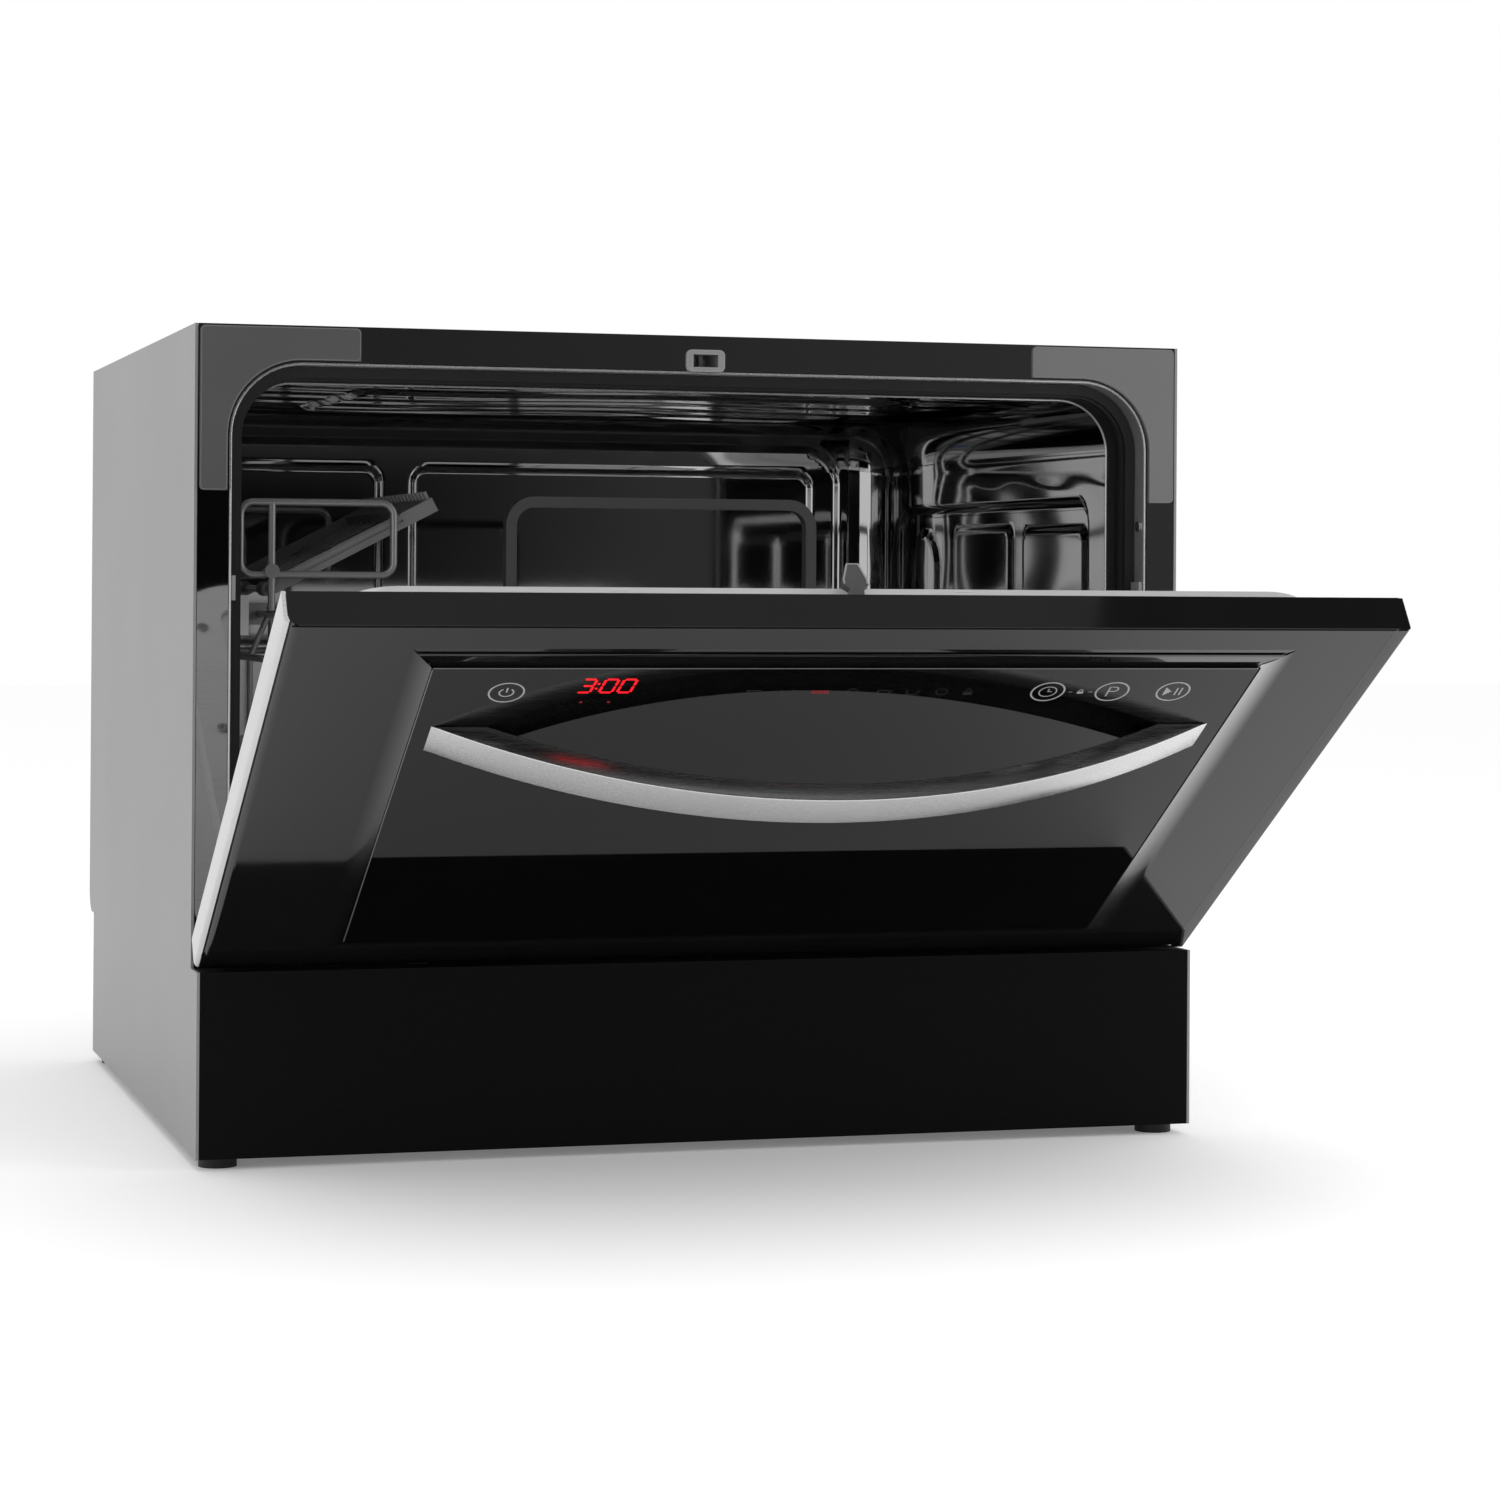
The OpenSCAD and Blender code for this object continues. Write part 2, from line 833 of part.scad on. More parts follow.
module sump() {
  z0 = floor_under - sump_h;
  color("#3a3c40")
    at_front()
      translate([0, well_y, 0])
        difference() {
          union() {
            translate([0, 0, floor_under - 3])
              cylinder(h = 3, r = well_r + 8);
            translate([0, 0, z0])
              cylinder(h = sump_h, r = well_r - 2);
            translate([0, 0, tray_top])
              cylinder(h = z0 - tray_top + 2, r = 22);
            translate([0, 0, z0 + 18])
              rotate([0, 90, 0])
                cylinder(h = pump_x - pump_r + 6, r = pipe_r);
            translate([0, 0, z0 + 18])
              rotate([0, -90, 0])
                cylinder(h = well_r + 26, r = pipe_r - 2);
          }
          translate([0, 0, z0 + sump_t])
            cylinder(h = sump_h + 1, r = well_r - 2 - sump_t);
          translate([0, 0, z0 + 18])
            rotate([0, 90, 0])
              cylinder(h = pump_x, r = pipe_r - sump_t);
          translate([0, 0, z0 + 18])
            rotate([0, -90, 0])
              cylinder(h = pump_x, r = pipe_r - 2 - sump_t);
        }
}

module filter_plate() {
  color("#a9abae")
    at_front()
      translate([0, well_y, 0])
        difference() {
          union() {
            translate([0, 0, tub_floor])
              cylinder(h = 1.5, r = well_r + 4);
            translate([0, 0, tub_floor - 4])
              cylinder(h = 5, r = well_r - 2 - sump_t - panel_gap);
          }
          translate([filter_x, 0, tub_floor - 5])
            cylinder(h = 10, r = filter_r + run_gap);
          translate([0, 0, tub_floor - 5])
            cylinder(h = 10, r = post_r + 3);
          for (a = [60 : 20 : 300])
            rotate([0, 0, a])
              translate([26, -1.5, tub_floor - 5])
                cube([34, 3, 10]);
        }
}

module filter_cylinder() {
  z1 = tub_floor + 2.5;
  color("#6f7a82")
    at_front()
      translate([filter_x, well_y, 0])
        difference() {
          union() {
            translate([0, 0, z1 - 42])
              cylinder(h = 42, r = filter_r);
            translate([-3, 4 - filter_r, z1 - 1])
              cube([6, 2 * (filter_r - 4), arm_gap - 4.5]);
          }
          translate([0, 0, z1 - 43])
            cylinder(h = 40, r = filter_r - 2);
          for (a = [0 : 30 : 150])
            rotate([0, 0, a])
              translate([-filter_r - 1, -1.5, z1 - 36])
                cube([2 * filter_r + 2, 3, 26]);
        }
}

module spray_post() {
  color("#55585c")
    at_front()
      translate([0, well_y, 0])
        difference() {
          union() {
            translate([0, 0, tub_floor - 40])
              cylinder(h = arm_gap + 40 + arm_t + 0.6, r = post_r);
            translate([0, 0, tub_floor - 3.4])
              cylinder(h = 6, r = post_r + 3 - panel_gap);
            translate([0, 0, arm_z + arm_t + 0.3])
              cylinder(h = 3.5, r = post_r + 4);
            translate([0, 0, floor_under - sump_h + sump_t + panel_gap])
              cylinder(h = 30, r = post_r);
          }
          translate([0, 0, floor_under - sump_h])
            cylinder(h = sump_h + arm_gap, r = post_r - 3);
        }
}

// body of the spray arm, with a waist between the hub and each round tip
module arm_body() {
  x = arm_l - arm_w / 2;
  y = arm_w / 2 - 1.5;
  cylinder(h = arm_t, r = 26);
  for (s = [-1, 1])
    translate([s * x, 0, 0])
      cylinder(h = arm_t, r = arm_w / 2);
  linear_extrude(height = arm_t)
    polygon([[-x, -y], [0, -y * 0.8], [x, -y], [x, y], [0, y * 0.8], [-x, y]]);
}

module spray_arm() {
  color("#8f9296")
    at_front()
      translate([0, well_y, arm_z])
        rotate([0, 0, 24])
          difference() {
            arm_body();
            translate([0, 0, -1])
              cylinder(h = arm_t + 2, r = post_r + run_gap);
            for (s = [-1, 1])
              for (i = [0 : 4])
                translate([s * (46 + i * 28), (i % 2 == 0 ? 1 : -1) * arm_w * 0.2, arm_t - 3])
                  cylinder(h = 4, r = 1.6);
            for (s = [-1, 1])
              translate([s * (arm_l / 2 + 10) - arm_l * 0.3, -2.5, arm_t - 1.5])
                cube([arm_l * 0.6, 5, 3]);
          }
}

module wash_pump() {
  z = floor_under - sump_h + 18;
  color("#6a6d72")
    at_front()
      translate([pump_x, well_y, 0])
        difference() {
          union() {
            translate([-pump_r + 20, 0, z])
              rotate([0, 90, 0])
                cylinder(h = 62, r = pump_r * 0.8);
            translate([-pump_r, 0, z])
              rotate([0, 90, 0])
                cylinder(h = 22, r = pump_r);
            translate([-outlet_in, 0, z])
              rotate([-90, 0, 0])
                cylinder(h = 58, r = pipe_r - 2);
            translate([-10, -14, tray_top + tray_rib_h])
              cube([40, 28, z - tray_top - tray_rib_h]);
            translate([-16, -16, tray_top])
              cube([52, 32, tray_rib_h + 1]);
          }
          translate([-pump_r - 1, 0, z])
            rotate([0, 90, 0])
              cylinder(h = 10, r = pipe_r + panel_gap);
        }
}

module heater() {
  z = floor_under - sump_h + 18;
  y0 = well_y + 58 + panel_gap;
  color("#94979b")
    at_front() {
      translate([pump_x - outlet_in, y0, z])
        rotate([-90, 0, 0])
          cylinder(h = 84, r = 24);
      translate([pump_x - outlet_in - 16, y0 + 8, tray_top])
        cube([32, 10, z - tray_top - 8]);
      translate([pump_x - outlet_in - 16, y0 + 62, tray_top])
        cube([32, 10, z - tray_top - 8]);
    }
}

module drain_pump() {
  z = floor_under - sump_h + 18;
  x = -well_r - 26 - panel_gap;
  color("#3f4246")
    at_front()
      translate([x, well_y, z]) {
        rotate([0, -90, 0])
          cylinder(h = 26, r = 26);
        translate([-20, 0, 0])
          rotate([0, -90, 0])
            cylinder(h = 48, r = 20);
        translate([-50, -12, tray_top - z])
          cube([34, 24, z - tray_top - 12]);
      }
}

module inlet_valve() {
  color("#d9dadb")
    at_front()
      translate([valve_x, body_y1, pipe_z])
        difference() {
          union() {
            translate([0, -skin_t - 30, 0])
              rotate([-90, 0, 0])
                cylinder(h = 30 + skin_t + relief, r = valve_r - relief);
            rotate([-90, 0, 0])
              translate([0, 0, relief])
                cylinder(h = valve_out - relief, r = valve_r);
            translate([-20, -skin_t - 60, -18])
              cube([40, 60 - panel_gap, 36]);
            translate([-14, -skin_t - 50, tray_top - pipe_z])
              cube([28, 30, pipe_z - tray_top]);
          }
          translate([0, -20, 0])
            rotate([-90, 0, 0])
              cylinder(h = 60, r = 8);
        }
}

module drain_spigot() {
  color("#4a4d51")
    at_front()
      translate([spigot_x, body_y1, pipe_z])
        difference() {
          union() {
            translate([0, -skin_t - 26, 0])
              rotate([-90, 0, 0])
                cylinder(h = 26 + skin_t + relief, r = spigot_r - relief);
            rotate([-90, 0, 0])
              translate([0, 0, relief])
                cylinder(h = spigot_out - relief, r = spigot_r);
            translate([0, -skin_t - 4 - panel_gap, 0])
              rotate([-90, 0, 0])
                cylinder(h = 4, r = spigot_r + 5);
          }
          translate([0, -24, 0])
            rotate([-90, 0, 0])
              cylinder(h = 60, r = spigot_r - 2);
        }
}

module cable_gland() {
  color("#232427")
    at_front()
      translate([gland_x, body_y1, pipe_z])
        difference() {
          union() {
            translate([0, -skin_t - 12, 0])
              rotate([-90, 0, 0])
                cylinder(h = 12 + skin_t + 8, r = gland_r);
            rotate([-90, 0, 0])
              cylinder(h = 4, r = gland_r + 3);
          }
          translate([0, -20, 0])
            rotate([-90, 0, 0])
              cylinder(h = 40, r = 3.8);
        }
}

module softener() {
  color("#c9cbcd")
    at_front()
      translate([salt_x, salt_y, 0])
        difference() {
          union() {
            along_z(tray_top + tray_rib_h, floor_under - 4)
              round_rect(-50, -46, 50, 46, 12);
            along_z(tray_top, tray_top + tray_rib_h + 1)
              round_rect(-44, -20, 44, 10, 4);
            translate([0, 0, floor_under - 6])
              cylinder(h = tub_floor - floor_under + 7.5, r = salt_r + 6 - panel_gap);
            translate([0, 0, tub_floor])
              cylinder(h = 1.5, r = salt_r + 9);
          }
          translate([0, 0, floor_under - 30])
            cylinder(h = 60, r = salt_r - 3 + run_gap);
        }
}

module salt_cap() {
  z0 = tub_floor + 1.5 + panel_gap;
  color("#eceded")
    at_front()
      translate([salt_x, salt_y, 0]) {
        translate([0, 0, z0 - 12])
          cylinder(h = 12, r = salt_r - 3);
        translate([0, 0, z0])
          cylinder(h = 3, r = salt_r + 3);
        translate([-4, 3 - salt_r, z0 + 2])
          cube([8, 2 * (salt_r - 3), 4.5]);
      }
}

module air_breaker() {
  x0 = tub_w / 2 + press_d + 2 + tub_t + panel_gap;
  color("#dfe3e6")
    at_front()
      mirror([1, 0, 0])
        along_x(x0 + 0.5, half_w - skin_t - panel_gap)
          difference() {
            round_rect(110, 150, tub_d - 42, tub_high - 11, 12);
            round_rect(150, 190, 220, tub_high - 51, 8);
            round_rect(240, 190, tub_d - 82, tub_high - 131, 8);
          }
}

module casing_screws() {
  color("#c9cacc")
    at_front() {
      for (x = [-1, 0, 1])
        for (z = [notch_z + notch_r + 14, cabinet_h - 24])
          translate([x * (case_x - 14), cabinet_d, z])
            rotate([-90, 0, 0])
              difference() {
                cylinder(h = 1.8, r = 4);
                translate([-3, -0.5, 1])
                  cube([6, 1, 2]);
              }
      translate([opening_w / 2 - rim_in, 7, opening_high - 81])
        rotate([0, -90, 0])
          cylinder(h = 1.2, r = 3);
    }
}

// outline of the door shell seen from above
module shell_2d(grow) {
  difference() {
    translate([-face_x - grow, door_face - grow])
      square([2 * (face_x + grow), door_t + grow]);
    for (s = [-1, 1])
      difference() {
        translate([s * (face_x + grow) - (s > 0 ? door_r : 0), door_face - grow])
          square([door_r, door_r]);
        translate([s * (face_x + grow - door_r), door_face - grow + door_r])
          circle(door_r);
      }
  }
}

// the recess of the touch panel, sloping at the sides and the top
module recess() {
  z0 = door_low + panel_low;
  z1 = door_low + panel_high;
  x = panel_w / 2;
  translate([panel_shift, 0, 0])
    intersection() {
      along_z(z0, z1 + ramp_top + 5)
        polygon([[-x, recess_y], [x, recess_y], [x + ramp_side * 1.4, door_face - recess_d * 0.4],
          [-x - ramp_side * 1.4, door_face - recess_d * 0.4]]);
      along_x(-half_w, half_w)
        polygon([[recess_y + 1, z0], [recess_y + 1, z1], [recess_y, z1],
          [door_face - recess_d * 0.4, z1 + ramp_top * 1.4], [door_face - recess_d * 0.4, z0]]);
    }
}

module door_shell() {
  z0 = strip_top + panel_gap;
  color("#0b0c0e")
    at_door()
      difference() {
        along_z(z0, door_high)
          shell_2d(0);
        along_z(z0 - 1, door_high - door_skin)
          translate([-face_x + door_skin, inner_y])
            square([2 * (face_x - door_skin), door_t]);
        recess();
      }
}

module door_strip(s) {
  color("#c4c6c9")
    at_door()
      on_side(s)
        along_x(half_w - side_strip_t, half_w)
          round_rect(door_face + 1.5, door_low, door_back, door_high, 1.2);
}

module door_strip_left() {
  door_strip(-1);
}

module door_strip_right() {
  door_strip(1);
}

module door_foot_strip() {
  y0 = door_face + 0.5;
  color("#111214")
    at_door()
      difference() {
        along_x(-face_x, face_x)
          difference() {
            translate([y0, door_low])
              square([door_back - y0, foot_strip_h]);
            difference() {
              translate([y0 - 1, door_low - 1])
                square([4, 4]);
              translate([y0 + 3, door_low + 3])
                circle(3);
            }
          }
        translate([door_skin - face_x, y0 + door_skin, door_low + 2])
          cube([2 * (face_x - door_skin), door_t, foot_strip_h]);
        for (s = [-1, 1])
          translate([s * hinge_x - bracket_t / 2 - 1, hinge_y - 3.6, door_low - 1])
            cube([bracket_t + 2, door_t, 5]);
      }
}

module touch_panel() {
  c = 0.4;
  color("#08090b")
    at_door()
      along_y(recess_y - glass_t, recess_y)
        translate([panel_shift, 0])
          round_rect(c - panel_w / 2, door_low + panel_low + c, panel_w / 2 - c,
            door_low + panel_high - c, 2);
}

// radius of the circle through a bow's ends and middle
function bow_r(w, h) = (w * w / 4 + h * h) / (2 * h);

module handle() {
  y0 = recess_y - glass_t;
  h1 = y0 - door_face + handle_out;
  h2 = h1 - handle_t;
  r1 = bow_r(handle_w, h1);
  r2 = bow_r(handle_gap_w, h2);
  color("#b9bbbd")
    at_door()
      along_z(door_low + handle_low, door_low + handle_low + handle_h)
        translate([panel_shift, y0])
          difference() {
            intersection() {
              translate([0, r1 - h1])
                circle(r1, $fn = 160);
              translate([-handle_w, -2 * handle_out])
                square([2 * handle_w, 2 * handle_out]);
            }
            translate([0, r2 - h2])
              circle(r2, $fn = 160);
          }
}

module door_liner() {
  x = face_x - door_skin - panel_gap;
  z0 = liner_low - 1;
  color("#c7c9cb")
    at_door()
      difference() {
        union() {
          along_y(door_back - 1.2, door_back)
            round_rect(-x, z0, x, door_high - door_skin - panel_gap, 4);
          along_y(door_back - 1.2, liner_face)
            liner_2d(0);
        }
        difference() {
          along_y(door_back - 2, liner_face - liner_t)
            liner_2d(-liner_t);
          along_y(field_face - liner_t, liner_face)
            liner_2d(-liner_rim + liner_t);
        }
        along_y(field_face, liner_face + 1)
          liner_2d(-liner_rim);
        along_y(door_back - 2, liner_face + 1)
          round_rect(disp_x - disp_w / 2 - panel_gap, disp_z - disp_h / 2 - panel_gap,
            disp_x + disp_w / 2 + panel_gap, disp_z + disp_h / 2 + panel_gap, 6 + panel_gap);
      }
}

module latch_tongue() {
  y0 = door_back;
  y1 = tongue_in;
  color("#8e9093")
    at_door() {
      along_y(y0, y0 + 1.5)
        round_rect(-12, latch_z - 6, 12, latch_z + 6, 2);
      along_z(latch_z - tongue_drop - tongue_t / 2, latch_z - tongue_drop + tongue_t / 2)
        polygon([[-3.4, y0 + 1], [3.4, y0 + 1], [3.4, y1 - 14], [tongue_w / 2, y1 - 12],
          [tongue_w / 2, y1 - 9], [3, y1], [-3, y1], [-tongue_w / 2, y1 - 9],
          [-tongue_w / 2, y1 - 12], [-3.4, y1 - 14]]);
    }
}

// where the detergent cup and its lid's hinge lie
cup_x = disp_x - disp_w / 2 + 8 + cup_w / 2;
cup_z = disp_z;
lid_y = field_face + 1.5 + panel_gap;
lid_t = 3;
lid_pin_y = lid_y + 2.1;
lid_pin_z = cup_z - cup_h / 2 - 5;
rinse_x = disp_x + disp_w / 2 - 26;
rinse_z = disp_z + 14;

module dispenser() {
  y1 = field_face + 1.5;
  color("#dcdee0")
    at_door() {
      difference() {
        union() {
          along_y(field_face - 22, y1)
            round_rect(disp_x - disp_w / 2, disp_z - disp_h / 2, disp_x + disp_w / 2,
              disp_z + disp_h / 2, 6);
          along_y(field_face, y1)
            round_rect(disp_x - disp_w / 2 - 4, disp_z - disp_h / 2 - 4, disp_x + disp_w / 2 + 4,
              disp_z + disp_h / 2 + 4, 8);
        }
        along_y(y1 - 15, y1 + 1)
          round_rect(cup_x - cup_w / 2, cup_z - cup_h / 2, cup_x + cup_w / 2, cup_z + cup_h / 2, 8);
        translate([rinse_x, y1 - 7, rinse_z])
          rotate([-90, 0, 0])
            cylinder(h = 9, r = cap_r + run_gap);
        translate([rinse_x, y1 - 1, rinse_z - cap_r - 14])
          rotate([-90, 0, 0])
            cylinder(h = 3, r = 4);
      }
      for (s = [-1, 1])
        translate([cup_x + s * (cup_w / 2 + 6), 0, 0]) {
          translate([-1.2, y1 - 0.2, lid_pin_z - 2.4])
            cube([2.4, lid_pin_y - y1 + 2.6, 4.8]);
          translate([s > 0 ? -3.4 : 0, lid_pin_y, lid_pin_z])
            rotate([0, 90, 0])
              cylinder(h = 3.4, r = 1.2);
        }
    }
}

module dispenser_lid() {
  x = cup_w / 2 + 4.4;
  color("#eceeef")
    at_door()
      difference() {
        union() {
          along_y(lid_y, lid_y + lid_t)
            round_rect(cup_x - x, lid_pin_z, cup_x + x, cup_z + cup_h / 2 + 4, 2);
          translate([cup_x - x, lid_pin_y, lid_pin_z])
            rotate([0, 90, 0])
              cylinder(h = 2 * x, r = 2.1);
        }
        translate([cup_x - x - 1, lid_pin_y, lid_pin_z])
          rotate([0, 90, 0])
            cylinder(h = 2 * x + 2, r = 1.2 + run_gap);
        along_y(lid_y + lid_t - 1, lid_y + lid_t + 1)
          round_rect(cup_x - 14, cup_z + cup_h / 2 - 12, cup_x + 14, cup_z + cup_h / 2 - 2, 3);
      }
}

module rinse_cap() {
  y1 = field_face + 1.5;
  color("#7fa6c4")
    at_door()
      translate([rinse_x, y1 - 7 + panel_gap, rinse_z])
        rotate([-90, 0, 0]) {
          cylinder(h = 8, r = cap_r);
          translate([-2, 2 - cap_r, 7])
            cube([4, 2 * (cap_r - 2), 4]);
        }
}

module control_board() {
  color("#1f5a3a")
    at_door() {
      along_y(inner_y + 2, inner_y + 3.6)
        translate([panel_shift, 0])
          difference() {
            round_rect(22 - panel_w / 2, door_low + panel_high - 44, panel_w / 2 - 22,
              door_low + panel_high - 4, 3);
            for (x = [30 - panel_w / 2, 0, panel_w / 2 - 30])
              translate([x, door_low + panel_high - 12])
                circle(1.6);
          }
      for (x = [-140, -60, 60, 140])
        translate([panel_shift + x, inner_y + panel_gap, door_low + panel_high - 26])
          rotate([-90, 0, 0])
            cylinder(h = 2 - panel_gap + 0.2, r = 3);
      translate([panel_shift - 134, inner_y + panel_gap, door_low + panel_high - 30])
        cube([30, 2, 14]);
    }
}

module hinge_arms() {
  x0 = hinge_x + bracket_t / 2 + 1;
  color("#aeb0b3")
    at_door()
      for (s = [-1, 1])
        on_side(s) {
          along_x(x0, x0 + 2) {
            translate([hinge_y, hinge_z])
              circle(hinge_pin_r + 1.6);
            round_rect(inner_y + panel_gap, hinge_z - hinge_pin_r - 1.4,
              door_back - 1.2 - panel_gap, liner_low + 60, 2);
          }
          translate([hinge_x - bracket_t / 2 - 1.5, hinge_y, hinge_z])
            rotate([0, 90, 0])
              cylinder(h = bracket_t + 4.5, r = hinge_pin_r);
        }
}

module liner_screws() {
  x = liner_w / 2 - liner_rim / 2;
  color("#d2d3d5")
    at_door()
      for (s = [-1, 1])
        for (z = [liner_low + 46, (liner_low + liner_high) / 2, liner_high - 46])
          translate([s * x, liner_face, z])
            rotate([-90, 0, 0])
              difference() {
                cylinder(h = 1.4, r = 3.4);
                translate([0, 0, 0.6])
                  cylinder(h = 2, r = 1.2);
              }
}

// place across the rack, as drawn for a width of 472
function rack_across(x) = x * rack_w / 472;

// place along the rack, as drawn for a depth of 280
function rack_along(y) = y * rack_d / 280;

module rack() {
  x = rack_w / 2 - wire_r;
  y0 = wire_r;
  y1 = rack_d - wire_r;
  mid_z = rack_rim - 23;
  in_y = wire_r + thin_r - 0.6;
  color("#87898c")
    at_rack() {
      translate([0, 0, floor_z])
        wire_loop(x, y0, y1, wire_r, 18);
      translate([0, 0, mid_z])
        wire_loop(x, y0, y1, wire_r, 18);
      translate([0, 0, rack_rim])
        wire_loop(rim_half, y0, y1, wire_r, 12);
      for (i = [-4 : 4])
        wire([rack_across(i * 48), y0, floor_z], [rack_across(i * 48), y1, floor_z], thin_r);
      for (i = [22, 66, 108, 150, 224])
        wire([-x, rack_along(i), cross_z], [x, rack_along(i), cross_z], thin_r);
      for (i = [-2.5 : 2.5])
        for (y = [y0 + in_y, y1 - in_y])
          wire([rack_across(i * 76), y, floor_z - 1], [rack_across(i * 76), y, rack_rim + 1], thin_r);
      for (s = [-1, 1])
        for (i = [30, 88, 160, 204, 254])
          on_side(s) {
            y = rack_along(i);
            wire([x - in_y, y, floor_z - 1], [x - in_y, y, mid_z + 0.4], thin_r);
            wire([x - in_y + 0.4, y, mid_z - 1], [rim_half, y, rack_rim], thin_r);
          }
      for (y = [150, 224])
        for (i = [0 : 10])
          translate([rim_half - 14 - i * tine_pitch, rack_along(y) + in_y, cross_z - 1]) {
            cylinder(h = tine_h, r = thin_r);
            translate([0, 0, tine_h])
              cylinder(h = thin_r, r1 = thin_r, r2 = thin_r / 2);
          }
    }
}

module roller_carriers() {
  color("#77797c")
    at_rack()
      for (s = [-1, 1])
        for (y = [roller_a, roller_b])
          on_side(s)
            difference() {
              union() {
                translate([rim_half - 4, y - 8, rail_z - 6])
                  cube([rail_x0 - rim_half + 2.6, 16, 12]);
                translate([rail_x0 - 2, y, rail_z])
                  rotate([0, 90, 0])
                    cylinder(h = rail_w - rail_t - 0.6, r = 2.5);
              }
              translate([rim_half, y - 9, rail_z])
                rotate([-90, 0, 0])
                  cylinder(h = 18, r = wire_r + run_gap);
              translate([rim_half - 5, y - 9, rail_z - 0.8])
                cube([5, 18, 1.6]);
            }
}

module roller(s, y) {
  color("#4c4e52")
    at_rack()
      on_side(s)
        translate([rail_x0 + 0.5, y, rail_z])
          rotate([0, 90, 0])
            difference() {
              cylinder(h = roller_w, r = roller_r);
              translate([0, 0, -1])
                cylinder(h = roller_w + 2, r = 2.5 + run_gap);
              for (a = [0 : 60 : 300])
                rotate([0, 0, a])
                  translate([5.4, 0, -1])
                    cylinder(h = roller_w + 2, r = 1.1);
            }
}

module roller_front_left() {
  roller(-1, roller_a);
}

module roller_front_right() {
  roller(1, roller_a);
}

module roller_rear_left() {
  roller(-1, roller_b);
}

module roller_rear_right() {
  roller(1, roller_b);
}

module rack_guard() {
  y0 = shelf_y - 8;
  y1 = shelf_y + shelf_w + 8;
  rim_z = rack_rim + wire_r + panel_gap;
  loop_x0 = -rack_w / 2 - 5;
  loop_x1 = -shelf_x + guard_l;
  loop_z = shelf_z + 7.6;
  top_z = loop_z + guard_h;
  color("#87898c")
    at_rack() {
      for (y = [y0, y1])
        translate([(loop_x0 + loop_x1) / 2, y, loop_z])
          rotate([90, 0, 0])
            wire_loop((loop_x1 - loop_x0) / 2, 0, guard_h, wire_r, 7);
      for (y = [y0, y1])
        translate([-shelf_x, y, rim_z])
          cylinder(h = top_z - rim_z, r = wire_r);
      translate([-shelf_x, y0, shelf_z])
        rotate([-90, 0, 0])
          cylinder(h = y1 - y0, r = wire_r);
      for (y = [y0 - 3, y1 - 3])
        translate([-shelf_x, y, loop_z + 2])
          rotate([-90, 0, 0])
            cylinder(h = 6, r = 2 * wire_r);
    }
}

module cup_shelf() {
  c = 4;
  peg_n = 19;
  peg_h = 4.5;
  color("#8d9093")
    at_rack()
      translate([-shelf_x, 0, shelf_z])
        rotate([0, -shelf_tilt, 0])
          difference() {
            union() {
              translate([c, shelf_y, -c])
                difference() {
                  cube([shelf_l - c, shelf_w, shelf_t]);
                  translate([3, 3, 2.4])
                    cube([shelf_l - c - 20, shelf_w - 6, shelf_t]);
                }
              for (y = [shelf_y, shelf_y + shelf_w / 2 - 10, shelf_y + shelf_w - 20])
                translate([0, y, 0])
                  rotate([-90, 0, 0])
                    cylinder(h = 20, r = c);
              for (y = [shelf_y, shelf_y + shelf_w / 2 - 10, shelf_y + shelf_w - 20])
                translate([0, y, -c])
                  cube([c + 2, 20, c]);
              for (i = [0 : peg_n - 1])
                translate([shelf_l - 3, shelf_y + 2 + i * (shelf_w - 6) / (peg_n - 1), 0])
                  cube([2, 2, shelf_t - c + peg_h]);
            }
            translate([0, shelf_y - 1, 0])
              rotate([-90, 0, 0])
                cylinder(h = shelf_w + 2, r = wire_r + run_gap);
            for (i = [0 : 9])
              for (j = [0, 1])
                translate([12 + j * 42, shelf_y + 9 + i * (shelf_w - 24) / 9, -c - 1])
                  cube([34, 6, 5]);
            for (z = [0, 1])
              translate([20, shelf_y - 1, -0.6 + z * 3.6])
                cube([shelf_l - 40, 2, 1.2]);
          }
}

// slots through the basket's floor and long walls
module basket_slots() {
  x = basket_w / 2;
  slot_n = 10;
  slot_pitch = (basket_w - 14) / slot_n;
  for (i = [0 : slot_n - 1])
    translate([7 - x + (i + 0.5) * slot_pitch - 3.5, 0, 0]) {
      for (y = [-1, basket_d * 0.8 + 1])
        translate([0, y, 14])
          cube([7, basket_d * 0.2, basket_h - 34]);
      for (y = [0.28, 0.72])
        translate([0.5, basket_d * y - 9, -1])
          cube([6, 18, 5]);
    }
}

module cutlery_basket() {
  x = basket_w / 2;
  t = basket_t;
  color("#7d8083")
    at_rack()
      translate([basket_x, basket_y, basket_z])
        difference() {
          along_z(0, basket_h)
            round_rect(-x, 0, x, basket_d, 8);
          along_z(t, basket_h + 1)
            round_rect(t - x, t, x - t, basket_d - t, 6);
          basket_slots();
        }
}

module basket_dividers() {
  x = basket_w / 2 - basket_t - panel_gap;
  y0 = basket_t + panel_gap;
  z0 = basket_t + panel_gap;
  color("#7d8083")
    at_rack()
      translate([basket_x, basket_y, basket_z]) {
        translate([-x, basket_d / 2 - 1, z0])
          cube([2 * x, 2, basket_h - 12 - z0]);
        for (i = [-1 : 1])
          translate([i * basket_w / 4 - 1, y0, z0])
            cube([2, basket_d - 2 * y0, basket_h - 14 - z0]);
      }
}

